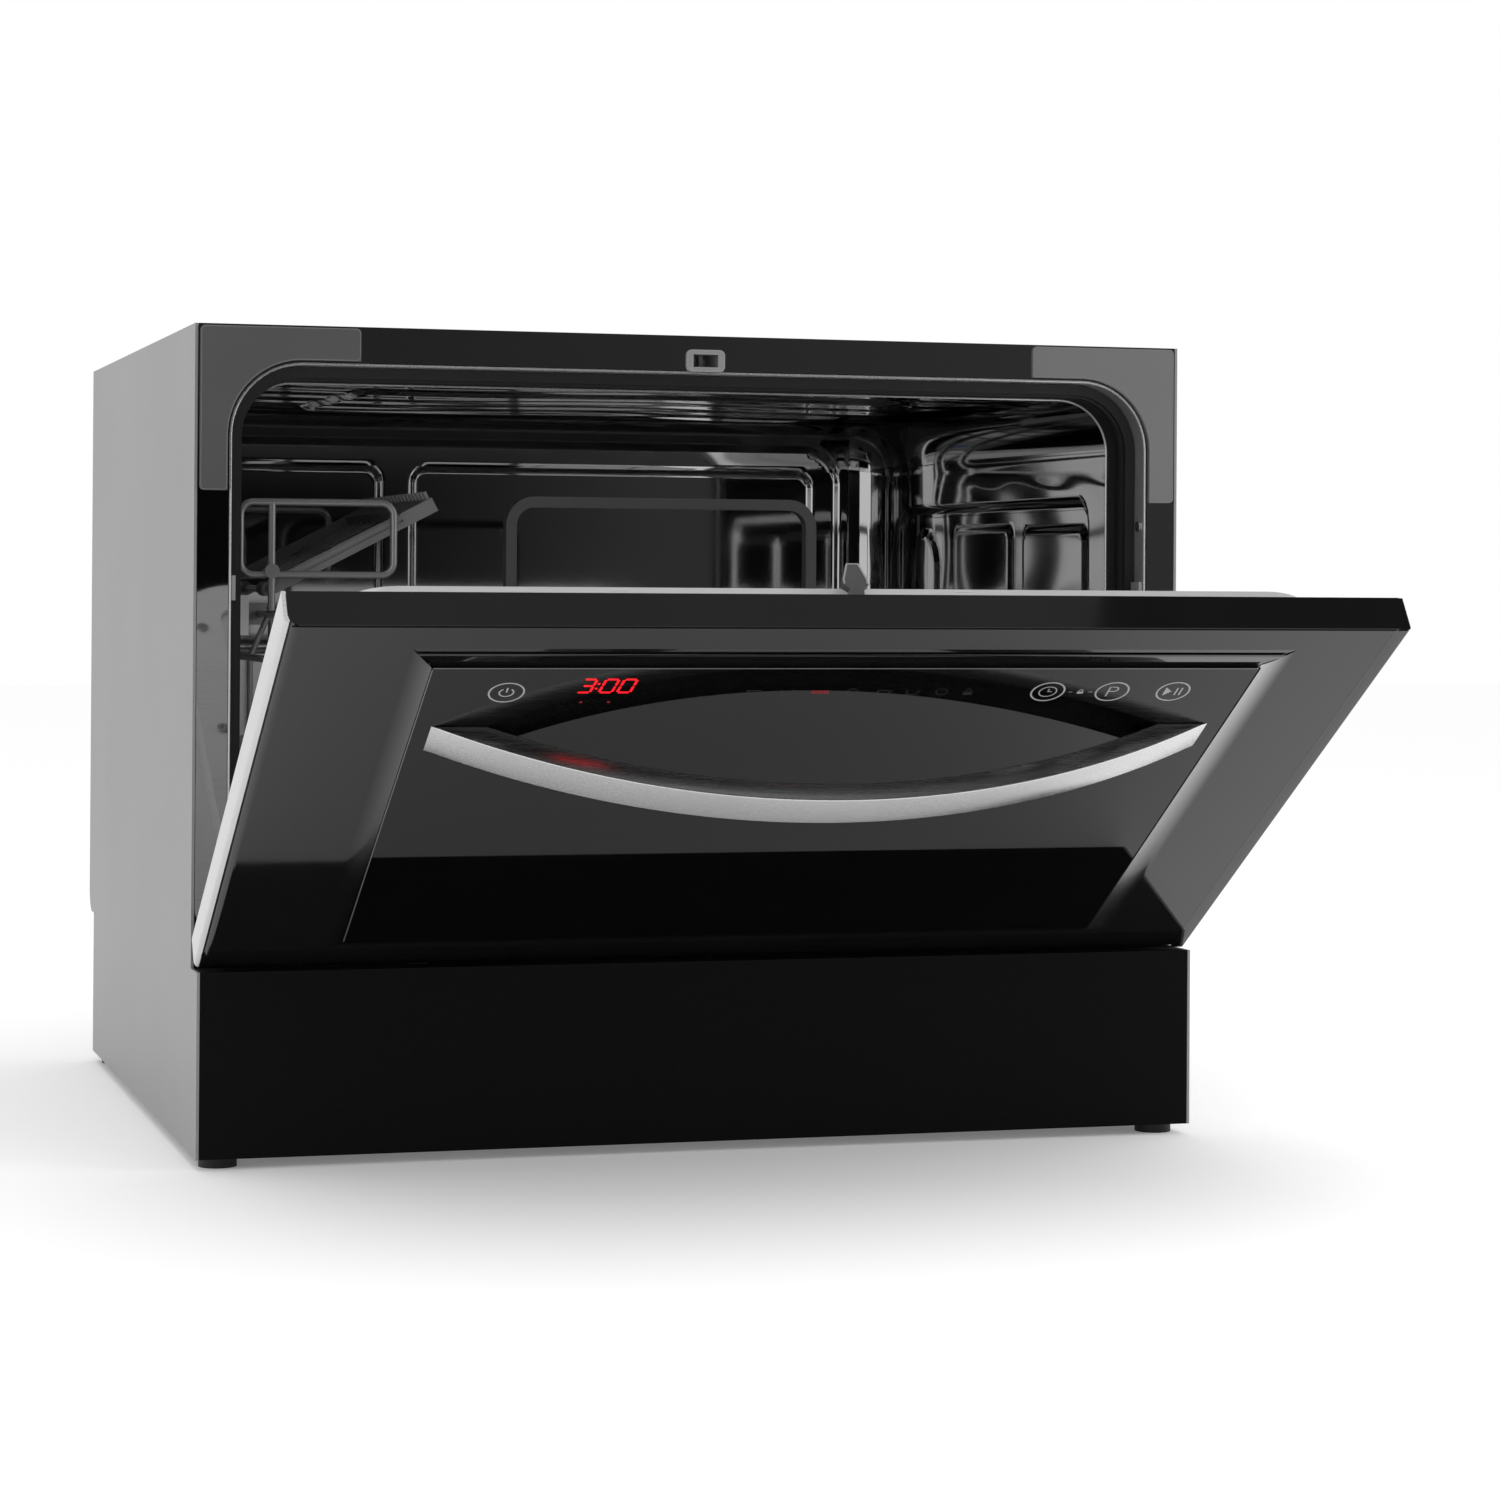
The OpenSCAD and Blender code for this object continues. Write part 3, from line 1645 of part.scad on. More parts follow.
module basket_handle() {
  x = basket_w / 2;
  color("#7d8083")
    at_rack()
      translate([basket_x, basket_y + basket_d / 2, basket_z])
        along_y(-4, 4)
          difference() {
            round_rect(-x, basket_h - 20, x, basket_top, 16);
            round_rect(grip_t - x, basket_h - 40, x - grip_t, basket_top - grip_t, 10);
            translate([-x - 1, basket_h - 30])
              square([basket_w + 2, 30 + panel_gap]);
          }
}

base_tray();
feet();
kick_panel();
side_panel_left();
side_panel_right();
top_panel();
rear_panel();
front_frame();
corner_plate_left();
corner_plate_right();
latch_housing();
latch_plunger();
tub();
door_seal();
rim_clips();
rack_rail_left();
rack_rail_right();
hinge_bracket_left();
hinge_bracket_right();
sump();
filter_plate();
filter_cylinder();
spray_post();
spray_arm();
wash_pump();
heater();
drain_pump();
inlet_valve();
drain_spigot();
softener();
salt_cap();
air_breaker();
cable_gland();
casing_screws();
door_shell();
door_strip_left();
door_strip_right();
door_foot_strip();
touch_panel();
handle();
door_liner();
latch_tongue();
dispenser();
dispenser_lid();
rinse_cap();
control_board();
hinge_arms();
liner_screws();
rack();
roller_carriers();
rack_guard();
cup_shelf();
cutlery_basket();
basket_dividers();
basket_handle();
roller_front_left();
roller_front_right();
roller_rear_left();
roller_rear_right();
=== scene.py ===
"""Looks of a countertop dishwasher with a drop-down door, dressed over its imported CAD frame.

Lengths in this file are in millimetres. They become metres where a mesh, lamp or camera is made.
"""

import logging
import math
from dataclasses import dataclass, field
from enum import Enum

import bmesh
import bpy
import numpy as np
from mathutils import Matrix, Vector


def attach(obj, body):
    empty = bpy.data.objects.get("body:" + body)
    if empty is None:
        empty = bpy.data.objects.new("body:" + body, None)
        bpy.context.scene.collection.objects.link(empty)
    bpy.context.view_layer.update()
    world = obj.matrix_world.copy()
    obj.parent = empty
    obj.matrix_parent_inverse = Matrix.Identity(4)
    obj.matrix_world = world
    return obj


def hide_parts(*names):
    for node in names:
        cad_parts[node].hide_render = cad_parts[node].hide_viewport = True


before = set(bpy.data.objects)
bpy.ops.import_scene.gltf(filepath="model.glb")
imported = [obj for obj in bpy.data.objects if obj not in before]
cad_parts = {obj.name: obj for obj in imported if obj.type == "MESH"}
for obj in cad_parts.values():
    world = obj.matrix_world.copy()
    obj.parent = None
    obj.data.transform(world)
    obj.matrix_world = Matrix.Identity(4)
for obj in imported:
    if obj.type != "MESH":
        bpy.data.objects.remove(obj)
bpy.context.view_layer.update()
LOG = logging.getLogger("dishwasher")

MM = 0.001
# The front frame's face in the shared frame, and the door's hinge measured from that face
FRONT_Y = -222.499
HINGE_Y = -16.0015
HINGE_Z = 113.0
# How far the door is swung open at rest, and the height of its lower edge when it is closed
DOOR_ANGLE = math.radians(57.0)
DOOR_LOW = 105.0
# Faces that meet at more than this are shaded with a sharp edge
SHARP_ANGLE = math.radians(35.0)
# Parts of the range of a noise, and of the sum of two, over which tone and gloss change
TONE_SPAN = (0.3, 0.7)
GLOSS_SPAN = (0.6, 1.4)

# Vertices and faces of a mesh
Form = tuple[np.ndarray, list]
# A line of a printed sign: its points, its width, and whether it closes on itself
Stroke = tuple[np.ndarray, float, bool]
# A rounded rectangle: its lower corner, its upper corner and its radius
Outline = tuple[float, float, float, float, float]


# Shapes

def at_front(points: np.ndarray) -> np.ndarray:
    """Moves points measured from the front frame's face into the shared frame.

    Args:
        points: (n, 3) array, Y measured backwards from the front frame.

    Returns:
        (n, 3) array in the shared frame.
    """
    return np.asarray(points, float) + np.array([0.0, FRONT_Y, 0.0])


def at_door(points: np.ndarray) -> np.ndarray:
    """Swings points of the closed door about the hinge into the pose of rest.

    The turn is y' = y cos a - z sin a, z' = y sin a + z cos a about the hinge's axis.

    Args:
        points: (n, 3) array on the closed door, Y measured from the front frame.

    Returns:
        (n, 3) array in the shared frame.
    """
    p = np.array(points, float)
    y, z = p[:, 1] - HINGE_Y, p[:, 2] - HINGE_Z
    c, s = math.cos(DOOR_ANGLE), math.sin(DOOR_ANGLE)
    p[:, 1] = HINGE_Y + y * c - z * s
    p[:, 2] = HINGE_Z + y * s + z * c
    return at_front(p)


def grid_faces(rows: int, cols: int, wrap_rows: bool = False, wrap_cols: bool = False
               ) -> np.ndarray:
    """Quads of a grid of points, row by row.

    Args:
        rows: number of rows of points.
        cols: number of points in a row.
        wrap_rows: joins the last row to the first.
        wrap_cols: joins the last point of a row to its first.

    Returns:
        (n, 4) array of vertex numbers.
    """
    r = np.arange(rows if wrap_rows else rows - 1)
    c = np.arange(cols if wrap_cols else cols - 1)
    r, c = (a.ravel() for a in np.meshgrid(r, c, indexing="ij"))
    r2, c2 = (r + 1) % rows, (c + 1) % cols
    return np.stack([r * cols + c, r * cols + c2, r2 * cols + c2, r2 * cols + c], 1)


def ribbon(path: np.ndarray, width: float, low: float, high: float, closed: bool = False) -> Form:
    """A flat bar with a rectangular section along a path in the X-Z plane.

    Each section has its two sides at path + and - width/2 along the path's normal, and runs
    from Y = low to Y = high.

    Args:
        path: (n, 2) array of X, Z points.
        width: width of the bar in the plane.
        low: Y of the bar's back.
        high: Y of the bar's front.
        closed: joins the path's end to its start.

    Returns:
        vertices and faces.
    """
    path = np.asarray(path, float)
    if closed:
        step = np.roll(path, -1, 0) - np.roll(path, 1, 0)
    else:
        step = np.gradient(path, axis=0)
    step /= np.linalg.norm(step, axis=1, keepdims=True)
    side = np.stack([-step[:, 1], step[:, 0]], 1) * width / 2
    a, b = path + side, path - side
    n = len(path)
    ring = np.zeros((n, 4, 3))
    for i, (q, y) in enumerate(((a, low), (b, low), (b, high), (a, high))):
        ring[:, i, 0], ring[:, i, 1], ring[:, i, 2] = q[:, 0], y, q[:, 1]
    faces = list(grid_faces(n, 4, wrap_rows=closed, wrap_cols=True))
    if not closed:
        faces += [(3, 2, 1, 0), tuple(4 * (n - 1) + k for k in range(4))]
    return ring.reshape(-1, 3), faces


def joined(parts: list[Form]) -> Form:
    """Puts several vertex and face lists into one.

    Args:
        parts: list of (vertices, faces).

    Returns:
        vertices and faces.
    """
    verts, faces, base = [], [], 0
    for v, f in parts:
        verts.append(v)
        faces += [tuple(int(i) + base for i in face) for face in f]
        base += len(v)
    return np.concatenate(verts), faces


def arc(cx: float, cz: float, rx: float, a0: float, a1: float, n: int, rz: float | None = None
        ) -> np.ndarray:
    """Points on an arc: x = cx + rx cos t, z = cz + rz sin t.

    Args:
        cx: centre in X.
        cz: centre in Z.
        rx: radius along X.
        a0: first angle in degrees.
        a1: last angle in degrees.
        n: number of points.
        rz: radius along Z, the same as rx if left out.

    Returns:
        (n, 2) array.
    """
    t = np.radians(np.linspace(a0, a1, n))
    rz = rx if rz is None else rz
    return np.stack([cx + rx * np.cos(t), cz + rz * np.sin(t)], 1)


def round_path(x0: float, z0: float, x1: float, z1: float, r: float, n: int = 12) -> np.ndarray:
    """Closed outline of a rounded rectangle, anticlockwise from its lower right corner.

    Args:
        x0: left side.
        z0: lower side.
        x1: right side.
        z1: upper side.
        r: radius of its corners.
        n: points in each corner.

    Returns:
        (4 n, 2) array.
    """
    return np.concatenate([
        arc(x1 - r, z0 + r, r, -90, 0, n), arc(x1 - r, z1 - r, r, 0, 90, n),
        arc(x0 + r, z1 - r, r, 90, 180, n), arc(x0 + r, z0 + r, r, 180, 270, n)])


def tube(path: np.ndarray, y: float, r: float, sides: int = 10) -> Form:
    """A round bar along a closed path in the X-Z plane.

    Each ring has the points path + r cos t along the path's normal, and y + r sin t across.

    Args:
        path: (n, 2) array of X, Z points.
        y: Y of the bar's middle.
        r: its radius.
        sides: points in a ring.

    Returns:
        vertices and faces.
    """
    step = np.roll(path, -1, 0) - np.roll(path, 1, 0)
    step /= np.linalg.norm(step, axis=1, keepdims=True)
    side = np.stack([-step[:, 1], step[:, 0]], 1)
    t = np.linspace(0, 2 * math.pi, sides, endpoint=False)
    flat = path[:, None] + side[:, None] * (r * np.cos(t))[None, :, None]
    ring = np.stack([flat[..., 0], np.broadcast_to(y + r * np.sin(t), flat.shape[:2]),
                     flat[..., 1]], -1)
    faces = list(grid_faces(len(path), sides, wrap_rows=True, wrap_cols=True))
    return ring.reshape(-1, 3), faces


def ease(t: np.ndarray) -> np.ndarray:
    """Smooth step 3 t^2 - 2 t^3, with t held between 0 and 1."""
    t = np.clip(t, 0.0, 1.0)
    return t * t * (3 - 2 * t)


def pressed_in(u: np.ndarray, v: np.ndarray, outline: Outline, slope: float) -> np.ndarray:
    """Depth of a pressed field: 0 outside it and 1 on its floor.

    With q = |p - middle| - half size + r the distance inside the outline is
    r - |max(q, 0)| - min(max(q_u, q_v), 0). The depth is the smooth step of it over the slope.

    Args:
        u: first coordinate.
        v: second coordinate.
        outline: the field's outline.
        slope: width of the sloped border.

    Returns:
        array of depths.
    """
    u0, v0, u1, v1, r = outline
    qu = np.abs(u - (u0 + u1) / 2) - (u1 - u0) / 2 + r
    qv = np.abs(v - (v0 + v1) / 2) - (v1 - v0) / 2 + r
    far = r - np.hypot(np.maximum(qu, 0), np.maximum(qv, 0)) - np.minimum(np.maximum(qu, qv), 0)
    return ease(far / slope)


def ripple(u: np.ndarray, v: np.ndarray, mean: float, waves: tuple[tuple[float, ...], ...]
           ) -> np.ndarray:
    """Low waves with bent crests: mean + the sum of h sin(u / l + b sin(v / m + a)).

    Args:
        u: coordinate across the crests.
        v: coordinate along them.
        mean: mean height.
        waves: h, l, b, m and a of each wave.

    Returns:
        array of heights.
    """
    return mean + sum(h * np.sin(u / run + bend * np.sin(v / bend_run + shift))
                      for h, run, bend, bend_run, shift in waves)


# Finishes

def linear(colour: str, gain: float = 1.0) -> tuple[float, float, float, float]:
    """Turns an sRGB hex colour to linear light.

    Args:
        colour: such as "#a0a1a3".
        gain: factor on the linear values.

    Returns:
        red, green, blue and an alpha of one.
    """
    part = [int(colour[i:i + 2], 16) / 255 for i in (1, 3, 5)]
    lin = [c / 12.92 if c <= 0.04045 else ((c + 0.055) / 1.055) ** 2.4 for c in part]
    return (*[min(1.0, c * gain) for c in lin], 1.0)


def add_node(tree: bpy.types.NodeTree, kind: str, inputs: dict | None = None, **settings
             ) -> bpy.types.Node:
    """Adds one node with its settings, constants and links.

    Args:
        tree: the node tree.
        kind: type of the node, such as "ShaderNodeBump".
        inputs: constant or output socket by the input's name or number.
        settings: properties of the node.

    Returns:
        the new node.
    """
    node = tree.nodes.new(kind)
    for key, value in settings.items():
        setattr(node, key, value)
    for key, value in (inputs or {}).items():
        if isinstance(value, bpy.types.NodeSocket):
            tree.links.new(value, node.inputs[key])
        else:
            node.inputs[key].default_value = value
    return node


class Grain(Enum):
    """How a surface was finished, which gives the run of its fine pattern."""

    EVEN = (1.0, 1.0, 1.0)
    ROLLED = (0.02, 1.0, 1.0)
    BRUSHED = (0.006, 1.0, 1.0)


@dataclass(frozen=True)
class Finish:
    """A material with a fine pattern of real size, a slow change of tone and of gloss."""

    name: str
    colour: str
    roughness: float
    metallic: float = 0.0
    ior: float = 1.5
    grain: Grain = Grain.EVEN
    pitch: float = 1.0
    depth: float = 0.01
    tone: float = 0.06
    cloud: float = 70.0
    gloss_swing: float = 0.05
    wave: float = 0.0
    wave_pitch: float = 90.0
    emission: str = ""
    glow: float = 0.0

    def shader(self, tree: bpy.types.NodeTree) -> bpy.types.NodeSocket:
        """Adds the finish's nodes to a tree.

        Args:
            tree: the material's node tree.

        Returns:
            the shader's output.
        """
        place = add_node(tree, "ShaderNodeTexCoord").outputs["Object"]
        slow = add_node(tree, "ShaderNodeTexNoise", {
            "Vector": place, "Scale": 1000 / self.cloud, "Detail": 3.0, "Roughness": 0.55})
        tone = add_node(tree, "ShaderNodeValToRGB", {"Fac": slow.outputs["Fac"]})
        for stop, position, gain in zip(tone.color_ramp.elements, TONE_SPAN,
                                        (1 - self.tone, 1 + self.tone)):
            stop.position = position
            stop.color = linear(self.colour, gain)
        run = add_node(tree, "ShaderNodeMapping", {"Vector": place, "Scale": self.grain.value})
        fine = add_node(tree, "ShaderNodeTexNoise", {
            "Vector": run.outputs["Vector"], "Scale": 1000 / self.pitch, "Detail": 2.0})
        mixed = add_node(tree, "ShaderNodeMath", {
            0: fine.outputs["Fac"], 1: slow.outputs["Fac"]}, operation="ADD")
        gloss = add_node(tree, "ShaderNodeMapRange", {
            "Value": mixed.outputs[0], "From Min": GLOSS_SPAN[0], "From Max": GLOSS_SPAN[1],
            "To Min": max(0.01, self.roughness - self.gloss_swing),
            "To Max": self.roughness + self.gloss_swing})
        bump = add_node(tree, "ShaderNodeBump", {
            "Height": fine.outputs["Fac"], "Distance": self.depth * MM, "Strength": 1.0})
        if self.wave:
            broad = add_node(tree, "ShaderNodeTexNoise", {
                "Vector": place, "Scale": 1000 / self.wave_pitch, "Detail": 1.0})
            bump = add_node(tree, "ShaderNodeBump", {
                "Height": broad.outputs["Fac"], "Distance": self.wave * MM, "Strength": 1.0,
                "Normal": bump.outputs["Normal"]})
        inputs = {
            "Base Color": tone.outputs["Color"], "Roughness": gloss.outputs["Result"],
            "Metallic": self.metallic, "Normal": bump.outputs["Normal"]}
        if self.metallic < 1:
            inputs["IOR"] = self.ior
        if self.emission:
            inputs["Emission Color"] = linear(self.emission)
            inputs["Emission Strength"] = self.glow
        return add_node(tree, "ShaderNodeBsdfPrincipled", inputs).outputs["BSDF"]

    def build(self, over: "Finish | None" = None) -> bpy.types.Material:
        """Makes the material once and returns it.

        Args:
            over: a second finish, which takes over where the mesh's attribute "highlight_share" is 1,
                a painted highlight.

        Returns:
            the material.
        """
        name = f"{self.name}_to_{over.name}" if over else self.name
        made = bpy.data.materials.get(name)
        if made:
            return made
        made = bpy.data.materials.new(name)
        made.use_nodes = True
        tree = made.node_tree
        tree.nodes.clear()
        surface = self.shader(tree)
        if over:
            highlight_share = add_node(tree, "ShaderNodeAttribute", attribute_name="highlight_share")
            surface = add_node(tree, "ShaderNodeMixShader", {
                0: highlight_share.outputs["Fac"], 1: surface, 2: over.shader(tree)}).outputs[0]
        add_node(tree, "ShaderNodeOutputMaterial", {"Surface": surface})
        return made


# Powder-coated steel sheet: satin, with a fine orange peel
SHEET = Finish("powder_coated_sheet", "#8b8b8b", 0.42, metallic=0.3, pitch=0.9, depth=0.012,
               tone=0.03, cloud=140)
# Textured black paint on steel: dull, with a visible grain
TEXTURED = Finish("textured_black_paint", "#050505", 0.8, ior=1.25, pitch=1.1, depth=0.09,
                  tone=0.3, cloud=3.0)
# Polished black-plated steel: a dark mirror
BLACK_MIRROR = Finish("black_plated_steel", "#b0b0b0", 0.03, metallic=1.0, pitch=60, depth=0.0,
                      tone=0.02, gloss_swing=0.01)
# Moulded ABS with a high-gloss black face
GLOSS_BLACK = Finish("gloss_black_abs", "#131313", 0.05, ior=1.5, pitch=30, depth=0.0,
                     tone=0.1, gloss_swing=0.02, wave=0.02, wave_pitch=160)
# Float glass, black behind
BLACK_GLASS = Finish("black_backed_glass", "#070707", 0.02, ior=1.38, pitch=40, depth=0.0,
                     tone=0.1, gloss_swing=0.01)
# Painted steel plate
PLATE = Finish("painted_plate", "#4d4d4d", 0.4, pitch=0.8, depth=0.01, tone=0.03)
# The right plate: the same satin paint, made lighter as painted light for the light falling on the
# right
PLATE_PAINTED_LIGHT = Finish("plate_with_painted_light", "#676767", 0.4, pitch=0.8, depth=0.01, tone=0.03)
# Lighter paint on the plates' raised edge and along the glass's edges: a painted highlight
PLATE_EDGE_HIGHLIGHT = Finish("edge_painted_highlight", "#717171", 0.35, pitch=0.8, depth=0.01, tone=0.03)
# Matt black in the door's shadow lines: painted shade where an edge and a gap fall dark
SHADE_LINE_BLACK = Finish("painted_shade_black", "#020202", 0.8, ior=1.2, pitch=0.8, depth=0.004)
# Metal beside the glass on the recess's left, its grey set low: a painted dim highlight
BEVEL_DIM_HIGHLIGHT = Finish("bevel_dim_painted_highlight", "#858585", 0.16, metallic=1.0, pitch=0.6, depth=0.0,
                      tone=0.02)
# Metal beside the glass on the recess's right, its grey set high: a painted bright highlight
BEVEL_BRIGHT_HIGHLIGHT = Finish("bevel_bright_painted_highlight", "#dcdcdc", 0.18, metallic=1.0, pitch=0.6, depth=0.0,
                      tone=0.02)
# Pressed stainless steel with a silk face, where the tub's wall isn't polished
SILK_TUB = Finish("silk_tub_stainless", "#cfcfcf", 0.42, metallic=0.85, pitch=0.6, depth=0.002,
                  tone=0.03)
# Pressed stainless steel with a bright rolled face
STAINLESS = Finish("bright_stainless", "#b9b9b9", 0.13, metallic=1.0, pitch=0.5, depth=0.002,
                   grain=Grain.ROLLED, tone=0.03, gloss_swing=0.03, wave=0.05, wave_pitch=120)
# Bright-annealed stainless steel of the tub's inner face
MIRROR_STEEL = Finish("annealed_stainless", "#b4b4b4", 0.05, metallic=1.0, pitch=0.6, depth=0.0,
                      tone=0.03, gloss_swing=0.02)
# The same steel on the rolled-over edges, lighter and duller: a real round edge with a painted
# highlight on it, a soft light line
ROLLED_EDGE_HIGHLIGHT = Finish("rolled_edge_painted_highlight", "#d8d8d8", 0.28, metallic=0.8, pitch=0.6, depth=0.0,
                     tone=0.03)
# Pressed steel liner with a silk face
LINER = Finish("silk_stainless", "#cdcdcd", 0.3, metallic=0.35, pitch=0.5, depth=0.003,
               grain=Grain.ROLLED, tone=0.03)
# Die-cast zinc with a satin plating
SATIN_CAST = Finish("satin_cast_zinc", "#b8b8b8", 0.35, metallic=0.6, pitch=0.6, depth=0.004,
                    tone=0.03)
# Moulded acetal of the latch tongue
TONGUE = Finish("grey_acetal", "#484848", 0.4, pitch=0.7, depth=0.008, tone=0.05)
# Lighter acetal along the tongue's raised edge: a painted highlight
TONGUE_EDGE_HIGHLIGHT = Finish("acetal_painted_highlight", "#868686", 0.4, pitch=0.7, depth=0.008, tone=0.05)
# Brushed steel of the bow handle, its lines along the bow
HANDLE_STEEL = Finish("brushed_steel", "#d2d2d2", 0.27, metallic=1.0, grain=Grain.BRUSHED,
                      pitch=0.5, depth=0.006, tone=0.04, cloud=120, gloss_swing=0.05)
# Hot-dip galvanised sheet
ZINC = Finish("galvanised_sheet", "#9b9b9b", 0.4, metallic=0.9, pitch=7, depth=0.01, tone=0.06,
              cloud=9)
# EPDM rubber
RUBBER = Finish("epdm_rubber", "#131314", 0.6, pitch=0.6, depth=0.02, tone=0.1)
# Moulded polypropylene, grey
GREY_PLASTIC = Finish("grey_polypropylene", "#7f7f7f", 0.4, pitch=0.8, depth=0.01, tone=0.05)
# Moulded polypropylene of the cup shelf, satin grey
LIGHT_PLASTIC = Finish("light_polypropylene", "#6b6b6b", 0.4, pitch=0.8, depth=0.01, tone=0.05)
# Nylon-dipped steel wire
COATED_WIRE = Finish("nylon_coated_wire", "#8e8e8e", 0.2, metallic=0.55, pitch=0.9, depth=0.015,
                     tone=0.06)
# Dark polypropylene
DARK_PLASTIC = Finish("dark_polypropylene", "#3e3e3e", 0.42, pitch=0.8, depth=0.015, tone=0.07)
# White polypropylene
WHITE_PLASTIC = Finish("white_polypropylene", "#dcdddd", 0.38, pitch=0.8, depth=0.01, tone=0.02)
# Blue polypropylene
BLUE_PLASTIC = Finish("blue_polypropylene", "#3b5f8c", 0.38, pitch=0.8, depth=0.01, tone=0.05)
# Natural polypropylene, milky
CLEAR_PLASTIC = Finish("natural_polypropylene", "#d5dade", 0.3, pitch=0.8, depth=0.01, tone=0.03)
# Solder mask on a glass-fibre board
BOARD = Finish("solder_mask", "#1d5a33", 0.35, pitch=2.5, depth=0.03, tone=0.2, cloud=5)
# Zinc-plated screws
SCREW = Finish("zinc_plated_screw", "#b9bbbe", 0.25, metallic=1.0, pitch=0.5, depth=0.004)
# Screen-printed grey ink on glass
INK = Finish("printed_grey_ink", "#a0a0a0", 0.5, pitch=0.4, depth=0.002)
# Marks that only show when lit from behind
DIM_INK = Finish("smoked_ink", "#262626", 0.12, pitch=0.4, depth=0.002)
# Light-emitting segments behind the glass
RED_LIT = Finish("red_segments", "#c80010", 0.4, pitch=0.4, depth=0.0, emission="#ff0014",
                 glow=1.0)
# The same, at a low level
RED_DIM = Finish("dim_red_segments", "#5a0810", 0.4, pitch=0.4, depth=0.0, emission="#c01828",
                 glow=0.25)


def paint(node: str, finish: Finish) -> None:
    """Gives a CAD node its finish.

    Args:
        node: name of the node.
        finish: what it is made of.
    """
    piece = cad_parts[node]
    made = finish.build()
    if not piece.material_slots:
        piece.data.materials.append(made)
    for place in piece.material_slots:
        place.material = made
    LOG.info("dressed %s with %s", node, finish.name)


def piece_from(name: str, verts: np.ndarray, faces: list, finish: Finish,
               body: str, smooth: bool = True, solid: bool = True,
               over: Finish | None = None, highlight_share: np.ndarray | None = None) -> bpy.types.Object:
    """Makes a mesh piece that rides on a body.

    Args:
        name: the piece's name.
        verts: (n, 3) array in the shared frame, in millimetres.
        faces: vertex numbers of each face.
        finish: what it is made of.
        body: the body that it moves with.
        smooth: shades it smooth up to 35 degrees.
        solid: turns the faces outward, for a closed surface.
        over: a second finish that takes over where highlight_share is 1, a painted highlight.
        highlight_share: a number from 0 to 1 for each vertex, the share of the painted highlight.

    Returns:
        the new object.
    """
    mesh = bpy.data.meshes.new(name)
    mesh.from_pydata((np.asarray(verts) * MM).tolist(), [], [tuple(map(int, f)) for f in faces])
    mesh.validate()
    mesh.update()
    if solid:
        work = bmesh.new()
        work.from_mesh(mesh)
        bmesh.ops.recalc_face_normals(work, faces=work.faces)
        work.to_mesh(mesh)
        work.free()
    piece = bpy.data.objects.new(name, mesh)
    bpy.context.scene.collection.objects.link(piece)
    mesh.materials.append(finish.build(over))
    if highlight_share is not None:
        mesh.attributes.new("highlight_share", "FLOAT", "POINT").data.foreach_set("value", highlight_share)
    mesh.polygons.foreach_set("use_smooth", [smooth] * len(mesh.polygons))
    if smooth:
        mesh.set_sharp_from_angle(angle=SHARP_ANGLE)
    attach(piece, body)
    LOG.info("made %s: %d faces", name, len(mesh.polygons))
    return piece


@dataclass
class SubAssembly:
    """A group of CAD nodes with the finish of each."""

    finishes: dict[str, Finish] = field(default_factory=dict)

    def dress(self) -> None:
        """Paints every node of the group."""
        for node, finish in self.finishes.items():
            paint(node, finish)

    def build(self) -> None:
        """Makes the group's own pieces, if it has any, and dresses its nodes."""
        self.dress()


@dataclass
class Cabinet(SubAssembly):
    """Casing, base and rear."""

    finishes: dict[str, Finish] = field(default_factory=lambda: {
        "base_tray": ZINC, "feet": RUBBER, "kick_panel": TEXTURED, "side_panel_left": SHEET,
        "side_panel_right": SHEET, "top_panel": SHEET, "rear_panel": ZINC,
        "cable_gland": DARK_PLASTIC, "casing_screws": SCREW})


